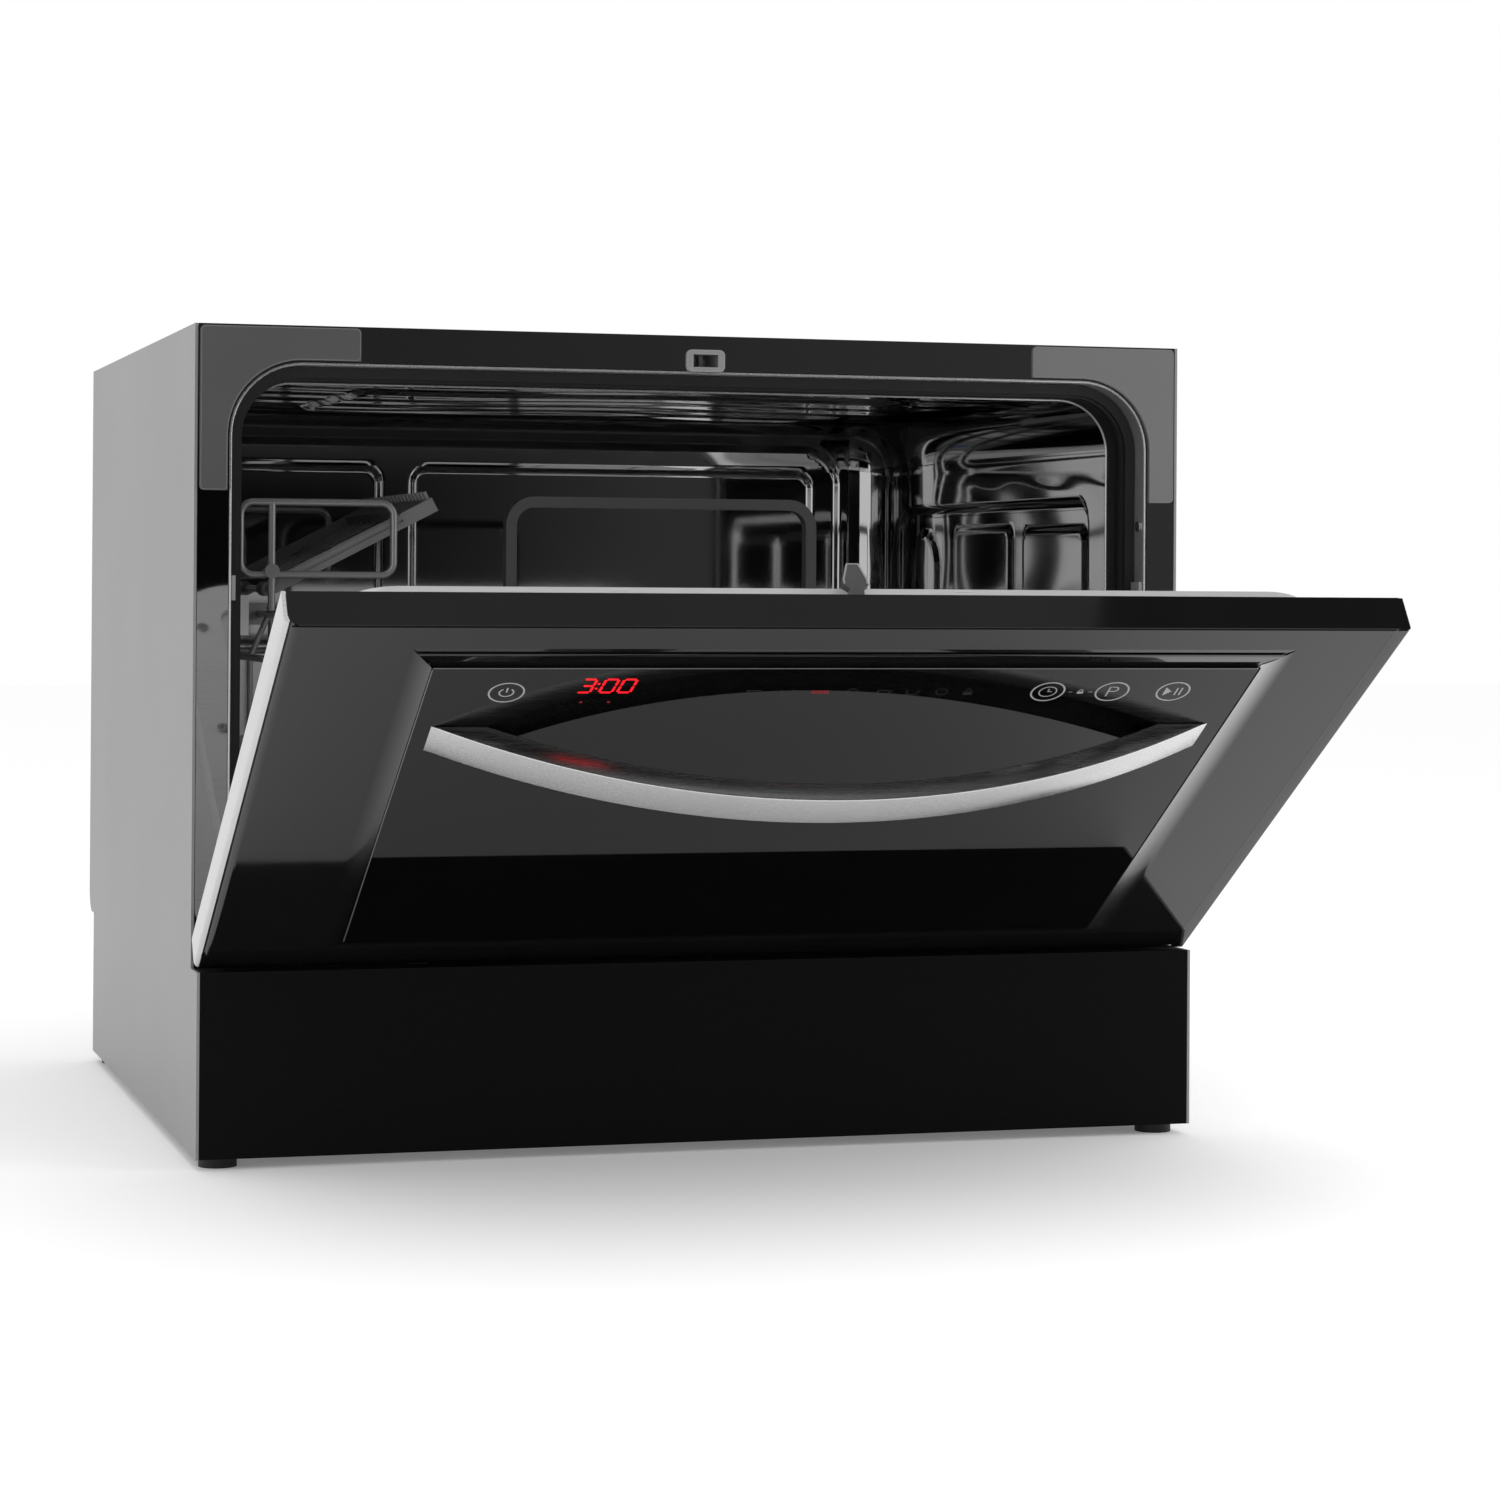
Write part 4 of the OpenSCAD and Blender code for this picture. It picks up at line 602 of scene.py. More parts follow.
@dataclass
class FrontFrame(SubAssembly):
    """Dark mirror frame, corner plates and latch."""

    finishes: dict[str, Finish] = field(default_factory=lambda: {
        "front_frame": BLACK_MIRROR, "corner_plate_left": PLATE,
        # The right plate's lighter finish is painted light, not a second paint
        "corner_plate_right": PLATE_PAINTED_LIGHT, "latch_housing": SATIN_CAST,
        "latch_plunger": DARK_PLASTIC,
        "hinge_bracket_left": ZINC, "hinge_bracket_right": ZINC})
    plate_x: float = 272.3
    plate_z: float = 436.1
    plate_arm: float = 84.2
    plate_leg: float = 85.8
    plate_face: float = -1.5
    hole_x: float = 257.9
    hole_z: float = 418.9
    hole_r: float = 39.9
    corner_r: float = 2.0
    edge: float = 0.45
    edge_w: float = 0.4
    edge_rise: float = 0.1
    sunk: float = 0.02
    latch_z: float = 423.6
    latch_w: float = 21.5
    latch_h: float = 12.0
    rim_inset: float = 0.6
    slot_inset: tuple[float, float] = (2.2, 1.5)
    rim_back: float = -1.15
    rim_front: float = -1.6
    slot_front: float = -1.5

    def plate_outline(self, side: int) -> np.ndarray:
        """Outline of a corner plate, a little inside its edge.

        Args:
            side: -1 for the left plate, 1 for the right one.

        Returns:
            (n, 2) array.
        """
        e = self.edge
        x1, z1 = self.plate_x - e, self.plate_z - e
        x0, z0 = self.plate_x - self.plate_arm + e, self.plate_z - self.plate_leg + e
        hx, hz = self.hole_x + e, self.hole_z + e
        r, hole_r = self.corner_r, self.hole_r
        path = np.concatenate([
            arc(x1 - r, z0 + r, r, -90, 0, 5), arc(x1 - r, z1 - r, r, 0, 90, 5),
            arc(x0 + r, z1 - r, r, 90, 180, 5), arc(x0 + r, hz + r, r, 180, 270, 5),
            arc(hx - hole_r, hz - hole_r, hole_r, 90, 0, 24),
            arc(hx + r, z0 + r, r, 180, 270, 5)])
        return path * np.array([side, 1.0])

    def build(self) -> None:
        """Adds the plates' raised edges, a painted highlight, and the latch's rims, then dresses the
        nodes.
        """
        y = self.plate_face
        # The plates' raised edges are a lighter paint: a painted highlight along their outline
        verts, faces = joined([
            ribbon(self.plate_outline(side), self.edge_w, y + self.sunk, y - self.edge_rise, True)
            for side in (-1, 1)])
        piece_from("plate_edge_highlights", at_front(verts), faces, PLATE_EDGE_HIGHLIGHT, "cabinet",
                   smooth=False)
        w, h = self.latch_w / 2 - self.rim_inset, self.latch_h / 2 - self.rim_inset
        z, (ix, iz) = self.latch_z, self.slot_inset
        verts, faces = joined([
            ribbon(round_path(-w, z - h, w, z + h, 2.6), 0.9, self.rim_back, self.rim_front, True),
            ribbon(round_path(-w + ix, z - h + iz, w - ix, z + h - iz, 0.8), 0.7, self.rim_back,
                   self.slot_front, True)])
        piece_from("latch_rims", at_front(verts), faces, SATIN_CAST, "cabinet")
        self.dress()


@dataclass
class Tub(SubAssembly):
    """Pressed tub with its seal, rails and what stands in its floor."""

    finishes: dict[str, Finish] = field(default_factory=lambda: {
        "tub": SILK_TUB, "door_seal": RUBBER, "rim_clips": GREY_PLASTIC,
        "rack_rail_left": STAINLESS, "rack_rail_right": STAINLESS, "filter_plate": STAINLESS,
        "filter_cylinder": GREY_PLASTIC, "spray_post": DARK_PLASTIC, "spray_arm": STAINLESS,
        "salt_cap": WHITE_PLASTIC})
    half: float = 249.7
    top: float = 410.7
    back: float = 431.7
    front: float = 38.8
    low: float = 297.5
    back_low: float = 205.0
    bend: float = 32.0
    bend_points: int = 25
    corner: float = 34.0
    corner_points: int = 20
    pitch: float = 2.0
    fine_pitch: float = 1.3
    press: float = 3.0
    slope: float = 5.0
    raise_inner: float = 2.6
    inner_slope: float = 4.0
    bead: float = 2.5
    bead_slope: float = 7.0
    back_field: Outline = (-216.0, 150.0, 216.0, 396.0, 26.0)
    back_inner: tuple[Outline, ...] = (
        (-200.0, 162.0, -93.0, 380.0, 12.0), (-76.0, 162.0, 198.0, 380.0, 12.0))
    side_field: Outline = (70.0, 160.0, 408.0, 355.0, 16.0)
    side_inner: tuple[Outline, ...] = (
        (77.0, 170.0, 182.0, 339.0, 8.0), (199.0, 170.0, 306.0, 341.0, 8.0),
        (334.0, 170.0, 388.0, 339.0, 26.0))
    ceiling_bead: Outline = (-170.0, 110.0, 170.0, 350.0, 30.0)
    # Zones: where an effect starts, and over what run it grows
    wall_zone: tuple[float, float] = (-1.0, 0.5)
    ceiling_zone: tuple[float, float] = (-2.0, 1.5)
    ceiling_back: tuple[float, float] = (396.0, 14.0)
    ceiling_front: tuple[float, float] = (42.0, 10.0)
    wall_head: tuple[float, float] = (370.0, 12.0)
    wall_back: tuple[float, float] = (400.0, 12.0)
    ceiling_mean: float = 0.75
    ceiling_waves: tuple[tuple[float, ...], ...] = (
        (0.5, 11.0, 1.3, 58.0, 0.0), (0.2, 5.2, 2.1, 45.0, 1.0))
    wall_mean: float = 0.16
    wall_waves: tuple[tuple[float, ...], ...] = ((0.14, 17.0, 1.7, 23.0, 0.0),)
    rim: Outline = (-256.0, 119.0, 256.0, 417.0, 38.0)
    rim_y: float = 0.5
    rim_r: float = 0.45
    seat: Outline = (-247.8, 127.2, 247.8, 408.8, 29.8)
    seat_y: float = 37.8
    seat_r: float = 0.75
    room: tuple[float, float, float] = (0.0, 200.0, 300.0)

    def ring(self, inset: float) -> np.ndarray:
        """Outline of the walls and the ceiling, drawn in by an inset.

        The corners' radius falls with it, as corner (1 - inset / bend).

        Args:
            inset: distance from the outline at the front.

        Returns:
            (n, 2) array of X, Z points from the right wall's foot over to the left one's.
        """
        r = self.corner * (1 - inset / self.bend)
        x, z = self.half - inset - r, self.top - inset - r
        n = round((self.top - self.corner - self.low) / self.pitch)
        m = round(2 * (self.half - self.corner) / self.pitch)
        wall = np.stack([np.full(n, x + r), np.linspace(self.low, z, n, endpoint=False)], 1)
        ceiling = np.stack([np.linspace(x, -x, m), np.full(m, z + r)], 1)[1:-1]
        return np.concatenate([
            wall, arc(x, z, r, 0, 90, self.corner_points), ceiling,
            arc(-x, z, r, 90, 180, self.corner_points), wall[::-1] * np.array([-1.0, 1.0])])

    def pressed(self, p: np.ndarray) -> np.ndarray:
        """Presses the fields into the back and the walls, and waves and a bead into the ceiling.

        A field's depth rises with the smooth step of the distance inside its outline. The inner
        fields of the walls stand back towards the room again. The waves mirror light as streaks.

        Args:
            p: (..., 3) array of points of the plain tub.

        Returns:
            array of the same shape.
        """
        x, y, z = p[..., 0], p[..., 1], p[..., 2]
        lift = pressed_in(x, z, self.back_field, self.slope)
        more = sum(pressed_in(x, z, one, self.slope) for one in self.back_inner)
        deep = y + lift * (self.back + self.press - y) + more * self.press
        out = self.press * pressed_in(y, z, self.side_field, self.slope)
        for one in self.side_inner:
            out = out - self.raise_inner * pressed_in(y, z, one, self.inner_slope)
        wall = ease((np.abs(x) - self.half - self.wall_zone[0]) / self.wall_zone[1])
        calm = ease((z - self.top - self.ceiling_zone[0]) / self.ceiling_zone[1]) \
            * ease((self.ceiling_back[0] - y) / self.ceiling_back[1]) \
            * ease((y - self.ceiling_front[0]) / self.ceiling_front[1])
        drop = self.bead * pressed_in(x, y, self.ceiling_bead, self.bead_slope) * calm \
            + ripple(y, x, self.ceiling_mean, self.ceiling_waves) * calm
        out = out - ripple(y, z, self.wall_mean, self.wall_waves) * wall \
            * ease((self.wall_head[0] - z) / self.wall_head[1]) \
            * ease((self.wall_back[0] - y) / self.wall_back[1])
        return np.stack([x + np.sign(x) * out * wall, deep, z - drop], -1)

    def sheet(self, name: str, p: np.ndarray) -> None:
        """Makes one sheet of the inner face from a grid of points, its face to the room.

        Args:
            name: the piece's name.
            p: (rows, columns, 3) array.
        """
        faces = grid_faces(*p.shape[:2])
        v = p.reshape(-1, 3)
        a, b, c = (v[faces[:, k]] for k in (0, 1, 3))
        across = np.cross(b - a, c - a)
        if (across * (np.array(self.room) - a)).sum() < 0:
            faces = faces[:, ::-1]
        piece_from(name, at_front(v), faces, MIRROR_STEEL, "cabinet", solid=False)

    def build(self) -> None:
        """Adds the bright inner face and the rolled edges with their painted highlight, then dresses
        the nodes.
        """
        flat = np.arange(self.front, self.back - self.bend, self.pitch)
        turn = np.radians(np.linspace(0, 90, self.bend_points))
        depth = np.concatenate([flat, self.back - self.bend + self.bend * np.sin(turn)])
        inset = np.concatenate([np.zeros(len(flat)), self.bend * (1 - np.cos(turn))])
        rows = []
        for y, o in zip(depth, inset):
            flat_ring = self.ring(o)
            rows.append(np.stack([flat_ring[:, 0], np.full(len(flat_ring), y),
                                  flat_ring[:, 1]], 1))
        self.sheet("tub_inner_walls", self.pressed(np.array(rows)))
        x1, z1 = self.half - self.bend, self.top - self.bend
        x = np.linspace(-x1, x1, round(2 * x1 / self.fine_pitch))
        z = np.linspace(self.back_low, z1, round((z1 - self.back_low) / self.fine_pitch))
        gx, gz = np.meshgrid(x, z)
        self.sheet("tub_inner_back", self.pressed(np.stack([gx, np.full_like(gx, self.back), gz],
                                                           -1)))
        # The round beads are real edges, and their lighter steel is a painted highlight
        verts, faces = joined([
            tube(round_path(*self.rim, n=24), self.rim_y, self.rim_r),
            tube(round_path(*self.seat, n=24), self.seat_y, self.seat_r)])
        piece_from("rolled_edges", at_front(verts), faces, ROLLED_EDGE_HIGHLIGHT, "cabinet")
        self.dress()


@dataclass
class WetParts(SubAssembly):
    """Pumps, heater, valve and softener under and beside the tub."""

    finishes: dict[str, Finish] = field(default_factory=lambda: {
        "sump": DARK_PLASTIC, "wash_pump": GREY_PLASTIC, "heater": STAINLESS,
        "drain_pump": DARK_PLASTIC, "inlet_valve": WHITE_PLASTIC, "drain_spigot": DARK_PLASTIC,
        "softener": CLEAR_PLASTIC, "air_breaker": CLEAR_PLASTIC})


@dataclass
class Door(SubAssembly):
    """Outer shell, strips, liner, dispenser and latch tongue."""

    finishes: dict[str, Finish] = field(default_factory=lambda: {
        "door_shell": GLOSS_BLACK, "door_foot_strip": GLOSS_BLACK, "touch_panel": BLACK_GLASS,
        "door_liner": LINER, "latch_tongue": TONGUE, "dispenser": GREY_PLASTIC,
        "dispenser_lid": GREY_PLASTIC, "rinse_cap": BLUE_PLASTIC, "control_board": BOARD,
        "hinge_arms": ZINC, "liner_screws": SCREW})
    face_y: float = -23.0015
    back_y: float = -5.0015
    high: float = 436.5
    edge_x: float = 275.0
    shell_x: float = 272.9
    shell_r: float = 5.0
    # How far the strips lie off the shell's rounding, and the laid-on sheets off the door's face
    strip_gap: float = 0.05
    skin: float = 0.03
    seam: float = 0.3
    left_roll: float = 30.0
    left_nose: tuple[tuple[float, float], ...] = (
        (272.8, -21.65), (274.1, -20.9), (274.8, -19.7), (275.0, -18.4))
    right_roll: float = 86.0
    right_lap: float = 266.8
    right_nose: float = 1.2
    panel_half: float = 206.0
    panel_shift: float = 4.0
    panel_low: float = 129.0
    panel_high: float = 399.0
    recess_y: float = -20.5
    glass_y: float = -22.0
    ramp_w: float = 12.0
    ramp_h: float = 18.0
    ramp_drop: float = 2.42
    ramp_drop_left: float = 0.95
    # Power on the share of the painted highlight across a bevel
    highlight_power: float = 1.3
    top_h: float = 13.0
    top_start: float = 0.5
    top_skin: float = 0.12
    top_ease: tuple[float, float] = (0.06, 0.2)
    handle_w: float = 394.0
    handle_gap: float = 340.0
    handle_reach: float = 42.3
    handle_t: float = 9.7
    handle_low: float = 324.5
    handle_h: float = 22.0
    handle_edge: float = 0.7
    line_rise: float = 0.05
    tongue_z: float = 425.0
    tongue_end: float = 20.0
    tongue_half: tuple[float, float] = (5.7, 2.75)
    tongue_reach: tuple[float, float, float] = (11.6, 9.1, 0.5)

    def upright(self, section: np.ndarray, low: float, high: float) -> Form:
        """Carries a section in X and Y straight up the closed door.

        Args:
            section: (n, 2) array, closed.
            low: its lower end.
            high: its upper end.

        Returns:
            vertices and faces in the shared frame.
        """
        n = len(section)
        ring = np.zeros((2, n, 3))
        ring[:, :, :2] = section
        ring[:, :, 2] = np.array([low, high])[:, None]
        faces = [*grid_faces(2, n, wrap_cols=True), range(n), range(2 * n - 1, n - 1, -1)]
        return at_door(ring.reshape(-1, 3)), faces

    def rolled(self, angle: float, points: int) -> np.ndarray:
        """Points round the shell's right edge, from its side on: centre + r (cos t, -sin t).

        Args:
            angle: how far to go, in degrees.
            points: number of points.

        Returns:
            (n, 2) array of X and Y.
        """
        r = self.shell_r + self.strip_gap
        roll = np.radians(np.linspace(0, angle, points))
        return np.stack([self.shell_x - self.shell_r + r * np.cos(roll),
                         self.face_y + self.shell_r - r * np.sin(roll)], 1)

    def strips(self) -> None:
        """Makes the side strips so that they close on the shell's round edges.

        The left one is light, a painted reflection on the door's side, and takes the first 30 degrees
        of the edge. The right one goes on from the door's face and turns the corner with a small
        radius.
        """
        x0, x1 = self.shell_x + self.seam, self.edge_x
        back = np.array([[x1, self.back_y], [x0, self.back_y], [x0, self.face_y + self.shell_r]])
        left = np.concatenate([self.rolled(self.left_roll, 5), self.left_nose, back])
        verts, faces = self.upright(left * np.array([-1.0, 1.0]), DOOR_LOW, self.high - 0.05)
        # The left strip's light silver is a painted reflection, and the right strip stays gloss black
        made = piece_from("left_strip_painted_reflection", verts, faces, LINER, "door")
        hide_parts("door_strip_left")
        turn = np.radians(np.linspace(90, 0, 6))
        y, r = self.face_y - self.skin, self.right_nose
        corner = np.stack([x1 - r + r * np.cos(turn), y + r - r * np.sin(turn)], 1)
        right = np.concatenate([self.rolled(self.right_roll, 12), [[self.right_lap, y]], corner,
                                back])
        verts, faces = self.upright(right, DOOR_LOW + 0.5, self.high - 0.4)
        made = piece_from("black_side_strip", verts, faces, GLOSS_BLACK, "door")
        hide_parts("door_strip_right")

    def handle(self) -> None:
        """Makes the bow handle, cut by two arcs, with its long edges broken.

        Both arcs go through a chord and a rise h: their radius is (w^2 / 4 + h^2) / (2 h). At each
        X the section is a rectangle between the arcs, its corners rounded.
        """
        h1, h2 = self.handle_reach, self.handle_reach - self.handle_t
        w1, w2 = self.handle_w / 2, self.handle_gap / 2
        r1, r2 = ((w * w + h * h) / (2 * h) for w, h in ((w1, h1), (w2, h2)))
        x = np.unique(np.concatenate([w1 * np.sin(np.linspace(-1, 1, 141) * math.pi / 2),
                                      [-w2, w2]]))
        front = self.glass_y - (np.sqrt(np.maximum(r1 * r1 - x * x, 0)) - r1 + h1)
        gap = np.sqrt(np.maximum(r2 * r2 - x * x, 0)) - r2 + h2
        rear = self.glass_y - np.maximum(np.where(np.abs(x) < w2, gap, 0), 0) + 0.01
        r = np.minimum(self.handle_edge, (rear - front) * 0.45)
        turn = np.radians(np.array([0, 30, 60, 90.0]))
        z0, z1 = self.handle_low, self.handle_low + self.handle_h
        ring = []
        for y_edge, z_edge, a0 in ((rear, z1, 0), (front, z1, 90), (front, z0, 180),
                                   (rear, z0, 270)):
            for t in turn + math.radians(a0):
                cy = y_edge - r if a0 in (0, 270) else y_edge + r
                cz = z_edge - r if a0 in (0, 90) else z_edge + r
                ring.append(np.stack([x + self.panel_shift, cy + r * math.cos(t),
                                      cz + r * math.sin(t)], 1))
        verts = np.stack(ring, 1)
        n = verts.shape[1]
        faces = [*grid_faces(*verts.shape[:2], wrap_cols=True), range(n),
                 range(len(x) * n - 1, (len(x) - 1) * n - 1, -1)]
        made = piece_from("bow_handle", at_door(verts.reshape(-1, 3)), faces, HANDLE_STEEL,
                          "door")
        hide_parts("handle")

    def ramp(self, name: str, side: int, drop: float, over: Finish) -> None:
        """Rounds one side of the recess over: y = face + drop s^2, steepest beside the glass.

        Args:
            name: the piece's name.
            side: -1 for the left side, 1 for the right one.
            drop: depth beside the glass.
            over: finish beside the glass, a painted highlight. It fades to the door's gloss black at
                the face.
        """
        s = np.linspace(0, 1, 25)[:, None]
        t = np.linspace(0, 1, 90)[None, :]
        x = side * (self.panel_half + self.ramp_w * (1 - s)) + self.panel_shift
        top = self.panel_high + self.ramp_h * (1 - s)
        z = self.panel_low + (top - self.panel_low) * t
        y = self.face_y - self.skin + drop * s * s
        verts = np.stack([np.broadcast_to(x, z.shape), np.broadcast_to(y, z.shape), z], -1)
        # The painted highlight's share grows towards the glass
        piece_from(name, at_door(verts.reshape(-1, 3)), grid_faces(*z.shape)[:, ::side],
                   GLOSS_BLACK, "door", solid=False, over=over,
                   highlight_share=np.broadcast_to(s ** self.highlight_power, z.shape).ravel())

    def top_ramp(self) -> None:
        """Closes the recess's upper side by a steep slope with short rounded ends.

        The depth is the running sum of a slope that rises over the first part of the way, stays,
        and falls over the last.
        """
        t = np.linspace(0, 1, 40)
        e0, e1 = self.top_ease
        rise = np.interp(t, [0, e0, 1 - e1, 1], [0, 1, 1, 0])
        f = np.concatenate([[0], np.cumsum((rise[1:] + rise[:-1]) / 2)])
        f /= f[-1]
        foot, head = self.recess_y - self.top_skin, self.face_y - self.skin
        z = self.panel_high + self.top_start + self.top_h * t
        y = foot - (foot - head) * f
        reach = self.panel_half + self.ramp_w * (z - self.panel_high) / self.ramp_h
        x = reach[:, None] * np.linspace(-1, 1, 60)[None, :] + self.panel_shift
        verts = np.stack([x, np.broadcast_to(y[:, None], x.shape),
                          np.broadcast_to(z[:, None], x.shape)], -1)
        piece_from("recess_top", at_door(verts.reshape(-1, 3)), grid_faces(*x.shape)[:, ::-1],
                   GLOSS_BLACK, "door", solid=False)

    def line(self, a: tuple[float, float], b: tuple[float, float], width: float, y: float,
             rise: float, sunk: float = 0.02) -> Form:
        """A thin bar on the closed door from a to b.

        Args:
            a: its start in X and Z.
            b: its end.
            width: its width.
            y: the face that it lies on.
            rise: how far it stands off that face.
            sunk: how far it reaches into it.

        Returns:
            vertices and faces of the closed door.
        """
        return ribbon(np.array([a, b]), width, y + sunk, y - rise)

    def lines(self) -> None:
        """Adds painted shade lines under the top edge and right of the glass, and painted highlights
        on the glass's edges.
        """
        z, glass = self.high - 1.1, self.glass_y
        left, right = (self.panel_shift + k * (self.panel_half - 0.75) for k in (-1, 1))
        dark = self.panel_shift + self.panel_half - 0.2
        verts, faces = joined([self.line((left, 131.0), (left, 397.0), 0.5, glass, self.line_rise),
                               self.line((left, 398.2), (right, 398.2), 0.6, glass,
                                         self.line_rise)])
        # The black lines are painted shade, and the light glass edges are painted highlights
        made = (
            ("top_shadow_line", SHADE_LINE_BLACK, "black_gloss",
             self.line((-271.5, z), (273.5, z), 1.5, self.face_y, 0.035)),
            ("glass_shadow_line", SHADE_LINE_BLACK, "black_glass",
             self.line((dark, 130.0), (dark, 398.6), 0.9, glass, 0.04, sunk=0.5)),
            ("glass_edge_highlights", PLATE_EDGE_HIGHLIGHT, "black_glass", (verts, faces)))
        for name, finish, slot, (verts, faces) in made:
            piece_from(name, at_door(verts), faces, finish, "door", smooth=False)

    def build(self) -> None:
        """Makes the strips, the handle, the recess's slopes and lines, then dresses the nodes."""
        self.strips()
        self.handle()
        # The two bevels get a dim and a bright painted highlight
        self.ramp("recess_left", -1, self.ramp_drop_left, BEVEL_DIM_HIGHLIGHT)
        self.ramp("recess_right", 1, self.ramp_drop, BEVEL_BRIGHT_HIGHLIGHT)
        self.top_ramp()
        self.lines()
        wide, tip = self.tongue_half
        foot, neck, end = (self.tongue_end - reach for reach in self.tongue_reach)
        path = np.array([[-wide, foot], [-wide, neck], [-tip, end], [tip, end], [wide, neck],
                         [wide, foot]])
        # A lighter outline round the tongue: a painted highlight on its edge
        verts, faces = ribbon(path, 0.9, self.tongue_z - 0.05, self.tongue_z + 0.25)
        piece_from("tongue_edge_highlight", at_door(verts[:, [0, 2, 1]]), faces, TONGUE_EDGE_HIGHLIGHT, "door",
                   smooth=False)
        self.dress()


@dataclass
class Rack(SubAssembly):
    """Wire rack with its guard, shelf, basket and rollers."""

    finishes: dict[str, Finish] = field(default_factory=lambda: {
        "rack": COATED_WIRE, "roller_carriers": GREY_PLASTIC, "rack_guard": COATED_WIRE,
        "cup_shelf": LIGHT_PLASTIC, "cutlery_basket": DARK_PLASTIC,
        "basket_dividers": DARK_PLASTIC, "basket_handle": DARK_PLASTIC,
        "roller_front_left": GREY_PLASTIC, "roller_front_right": GREY_PLASTIC,
        "roller_rear_left": GREY_PLASTIC, "roller_rear_right": GREY_PLASTIC})


# Touch marks

@dataclass
class TouchMarks:
    """Printed rings and signs, and the red time, on the door's glass.

    Places are X from the machine's middle and S up the door from its foot.
    """

    glass_y: float = -22.0
    proud: float = 0.05
    row_s: float = 272.0
    ring_r: float = 8.3
    ring_w: float = 0.9
    line: float = 0.75
    fine: float = 0.6
    power_x: float = -162.8
    clock_x: float = 106.0
    programme_x: float = 139.5
    start_x: float = 171.6
    lock_x: float = 123.0
    dash_x: tuple[float, float] = (117.0, 127.2)
    faint_x: tuple[float, ...] = (-43.0, -26.5, 6.0, 22.0, 36.5, 51.5, 65.0)
    digit_h: float = 11.6
    digit_w: float = 6.2
    digit_low: float = 272.0
    digit_end: float = 0.55
    upright_w: float = 1.25
    level_w: float = 1.5
    slant: float = 0.12
    time_x: tuple[tuple[str, float], ...] = (("3", -129.2), ("0", -118.6), ("0", -109.8))
    colon_x: float = -121.0
    lit_row: tuple[float, float, float] = (-13.6, -5.8, 1.5)
    dot_x: tuple[float, float] = (-125.4, -112.0)
    dot_s: tuple[float, float] = (262.6, 264.0)

    def marks(self, paths: list[Stroke]) -> Form:
        """Raises flat bars on the glass along paths given in X and S.

        Args:
            paths: list of (points, width, closed).

        Returns:
            vertices and faces in the shared frame.
        """
        parts = []
        for points, width, closed in paths:
            flat = np.asarray(points, float) + np.array([0.0, DOOR_LOW])
            parts.append(ribbon(flat, width, self.glass_y + 0.01, self.glass_y - self.proud,
                                closed))
        verts, faces = joined(parts)
        return at_door(verts), faces

    def power(self) -> list[Stroke]:
        """The power sign: an open ring and a bar."""
        x, s = self.power_x, self.row_s
        return [(arc(x, s, 3.4, 125, 415, 30), self.line, False),
                (np.array([[x, s + 0.2], [x, s + 4.2]]), self.line, False)]

    def clock(self) -> list[Stroke]:
        """A clock with two hands."""
        x, s, w = self.clock_x, self.row_s, self.line * 0.8
        return [(arc(x, s, 4.4, 0, 345, 24), w, True),
                (np.array([[x, s + 2.6], [x, s], [x + 2.0, s]]), w, False)]

    def programme(self) -> list[Stroke]:
        """The letter P of the programme key."""
        shape = np.array([[-2.1, -4.4], [-2.1, 4.2], [0.7, 4.2], [2.1, 3.6], [2.6, 2.2], [2.1, 0.8],
                          [0.7, 0.2], [-1.9, 0.2]])
        return [(shape + np.array([self.programme_x, self.row_s]), self.line, False)]

    def start(self) -> list[Stroke]:
        """The start and pause sign: a filled triangle and two bars."""
        s = self.row_s
        bars = [(-4.2 + 0.95 * k, 3.4 - 1.0 * k, 1.0) for k in range(4)]
        bars += [(1.6, 3.3, 0.8), (4.0, 3.3, 0.8)]
        return [(np.array([[self.start_x + x, s - h], [self.start_x + x, s + h]]), w, False)
                for x, h, w in bars]

    def keys(self) -> list[Stroke]:
        """Rings with their signs: power, clock, programme and start."""
        rings = [(arc(x, self.row_s, self.ring_r, 0, 352.5, 48), self.ring_w, True)
                 for x in (self.power_x, self.clock_x, self.programme_x, self.start_x)]
        return rings + self.power() + self.clock() + self.programme() + self.start()

    def lock(self, x: float, size: float) -> list[Stroke]:
        """A small padlock: a filled body under an open bow.

        Args:
            x: its middle.
            size: factor on its size.

        Returns:
            list of strokes.
        """
        s = self.row_s
        return [
            (np.array([[x - 1.6 * size, s - 0.9 * size], [x + 1.6 * size, s - 0.9 * size]]),
             1.9 * size, False),
            (arc(x, s + 0.2 * size, 1.0 * size, 0, 180, 9, rz=1.7 * size), 0.45 * size, False)]

    def small_signs(self) -> list[Stroke]:
        """The key lock between two keys, with a dash on each side."""
        s = self.row_s - 0.3
        return self.lock(self.lock_x, 1.0) + [
            (np.array([[x, s], [x + 1.8, s]]), 0.4, False) for x in self.dash_x]

    def faint_row(self) -> list[Stroke]:
        """Programme signs that are dark until they are lit: pots, glasses, rings and a lock."""
        s, w = self.row_s, self.fine
        out = []
        for k, x in enumerate(self.faint_x[:-1]):
            if k % 3 == 0:
                out.append((arc(x, s + 1.0, 3.2, 180, 360, 12, rz=3.4), w, False))
                out.append((np.array([[x - 3.6, s + 1.4], [x + 3.6, s + 1.4]]), w, False))
            elif k % 3 == 1:
                out.append((np.array([[x - 3.2, s + 2.0], [x - 2.2, s - 2.4], [x + 2.2, s - 2.4],
                                      [x + 3.2, s + 2.0]]), w, False))
            else:
                out.append((arc(x, s, 2.9, 0, 330, 12), w, True))
        return out + self.lock(self.faint_x[-1], 1.5)

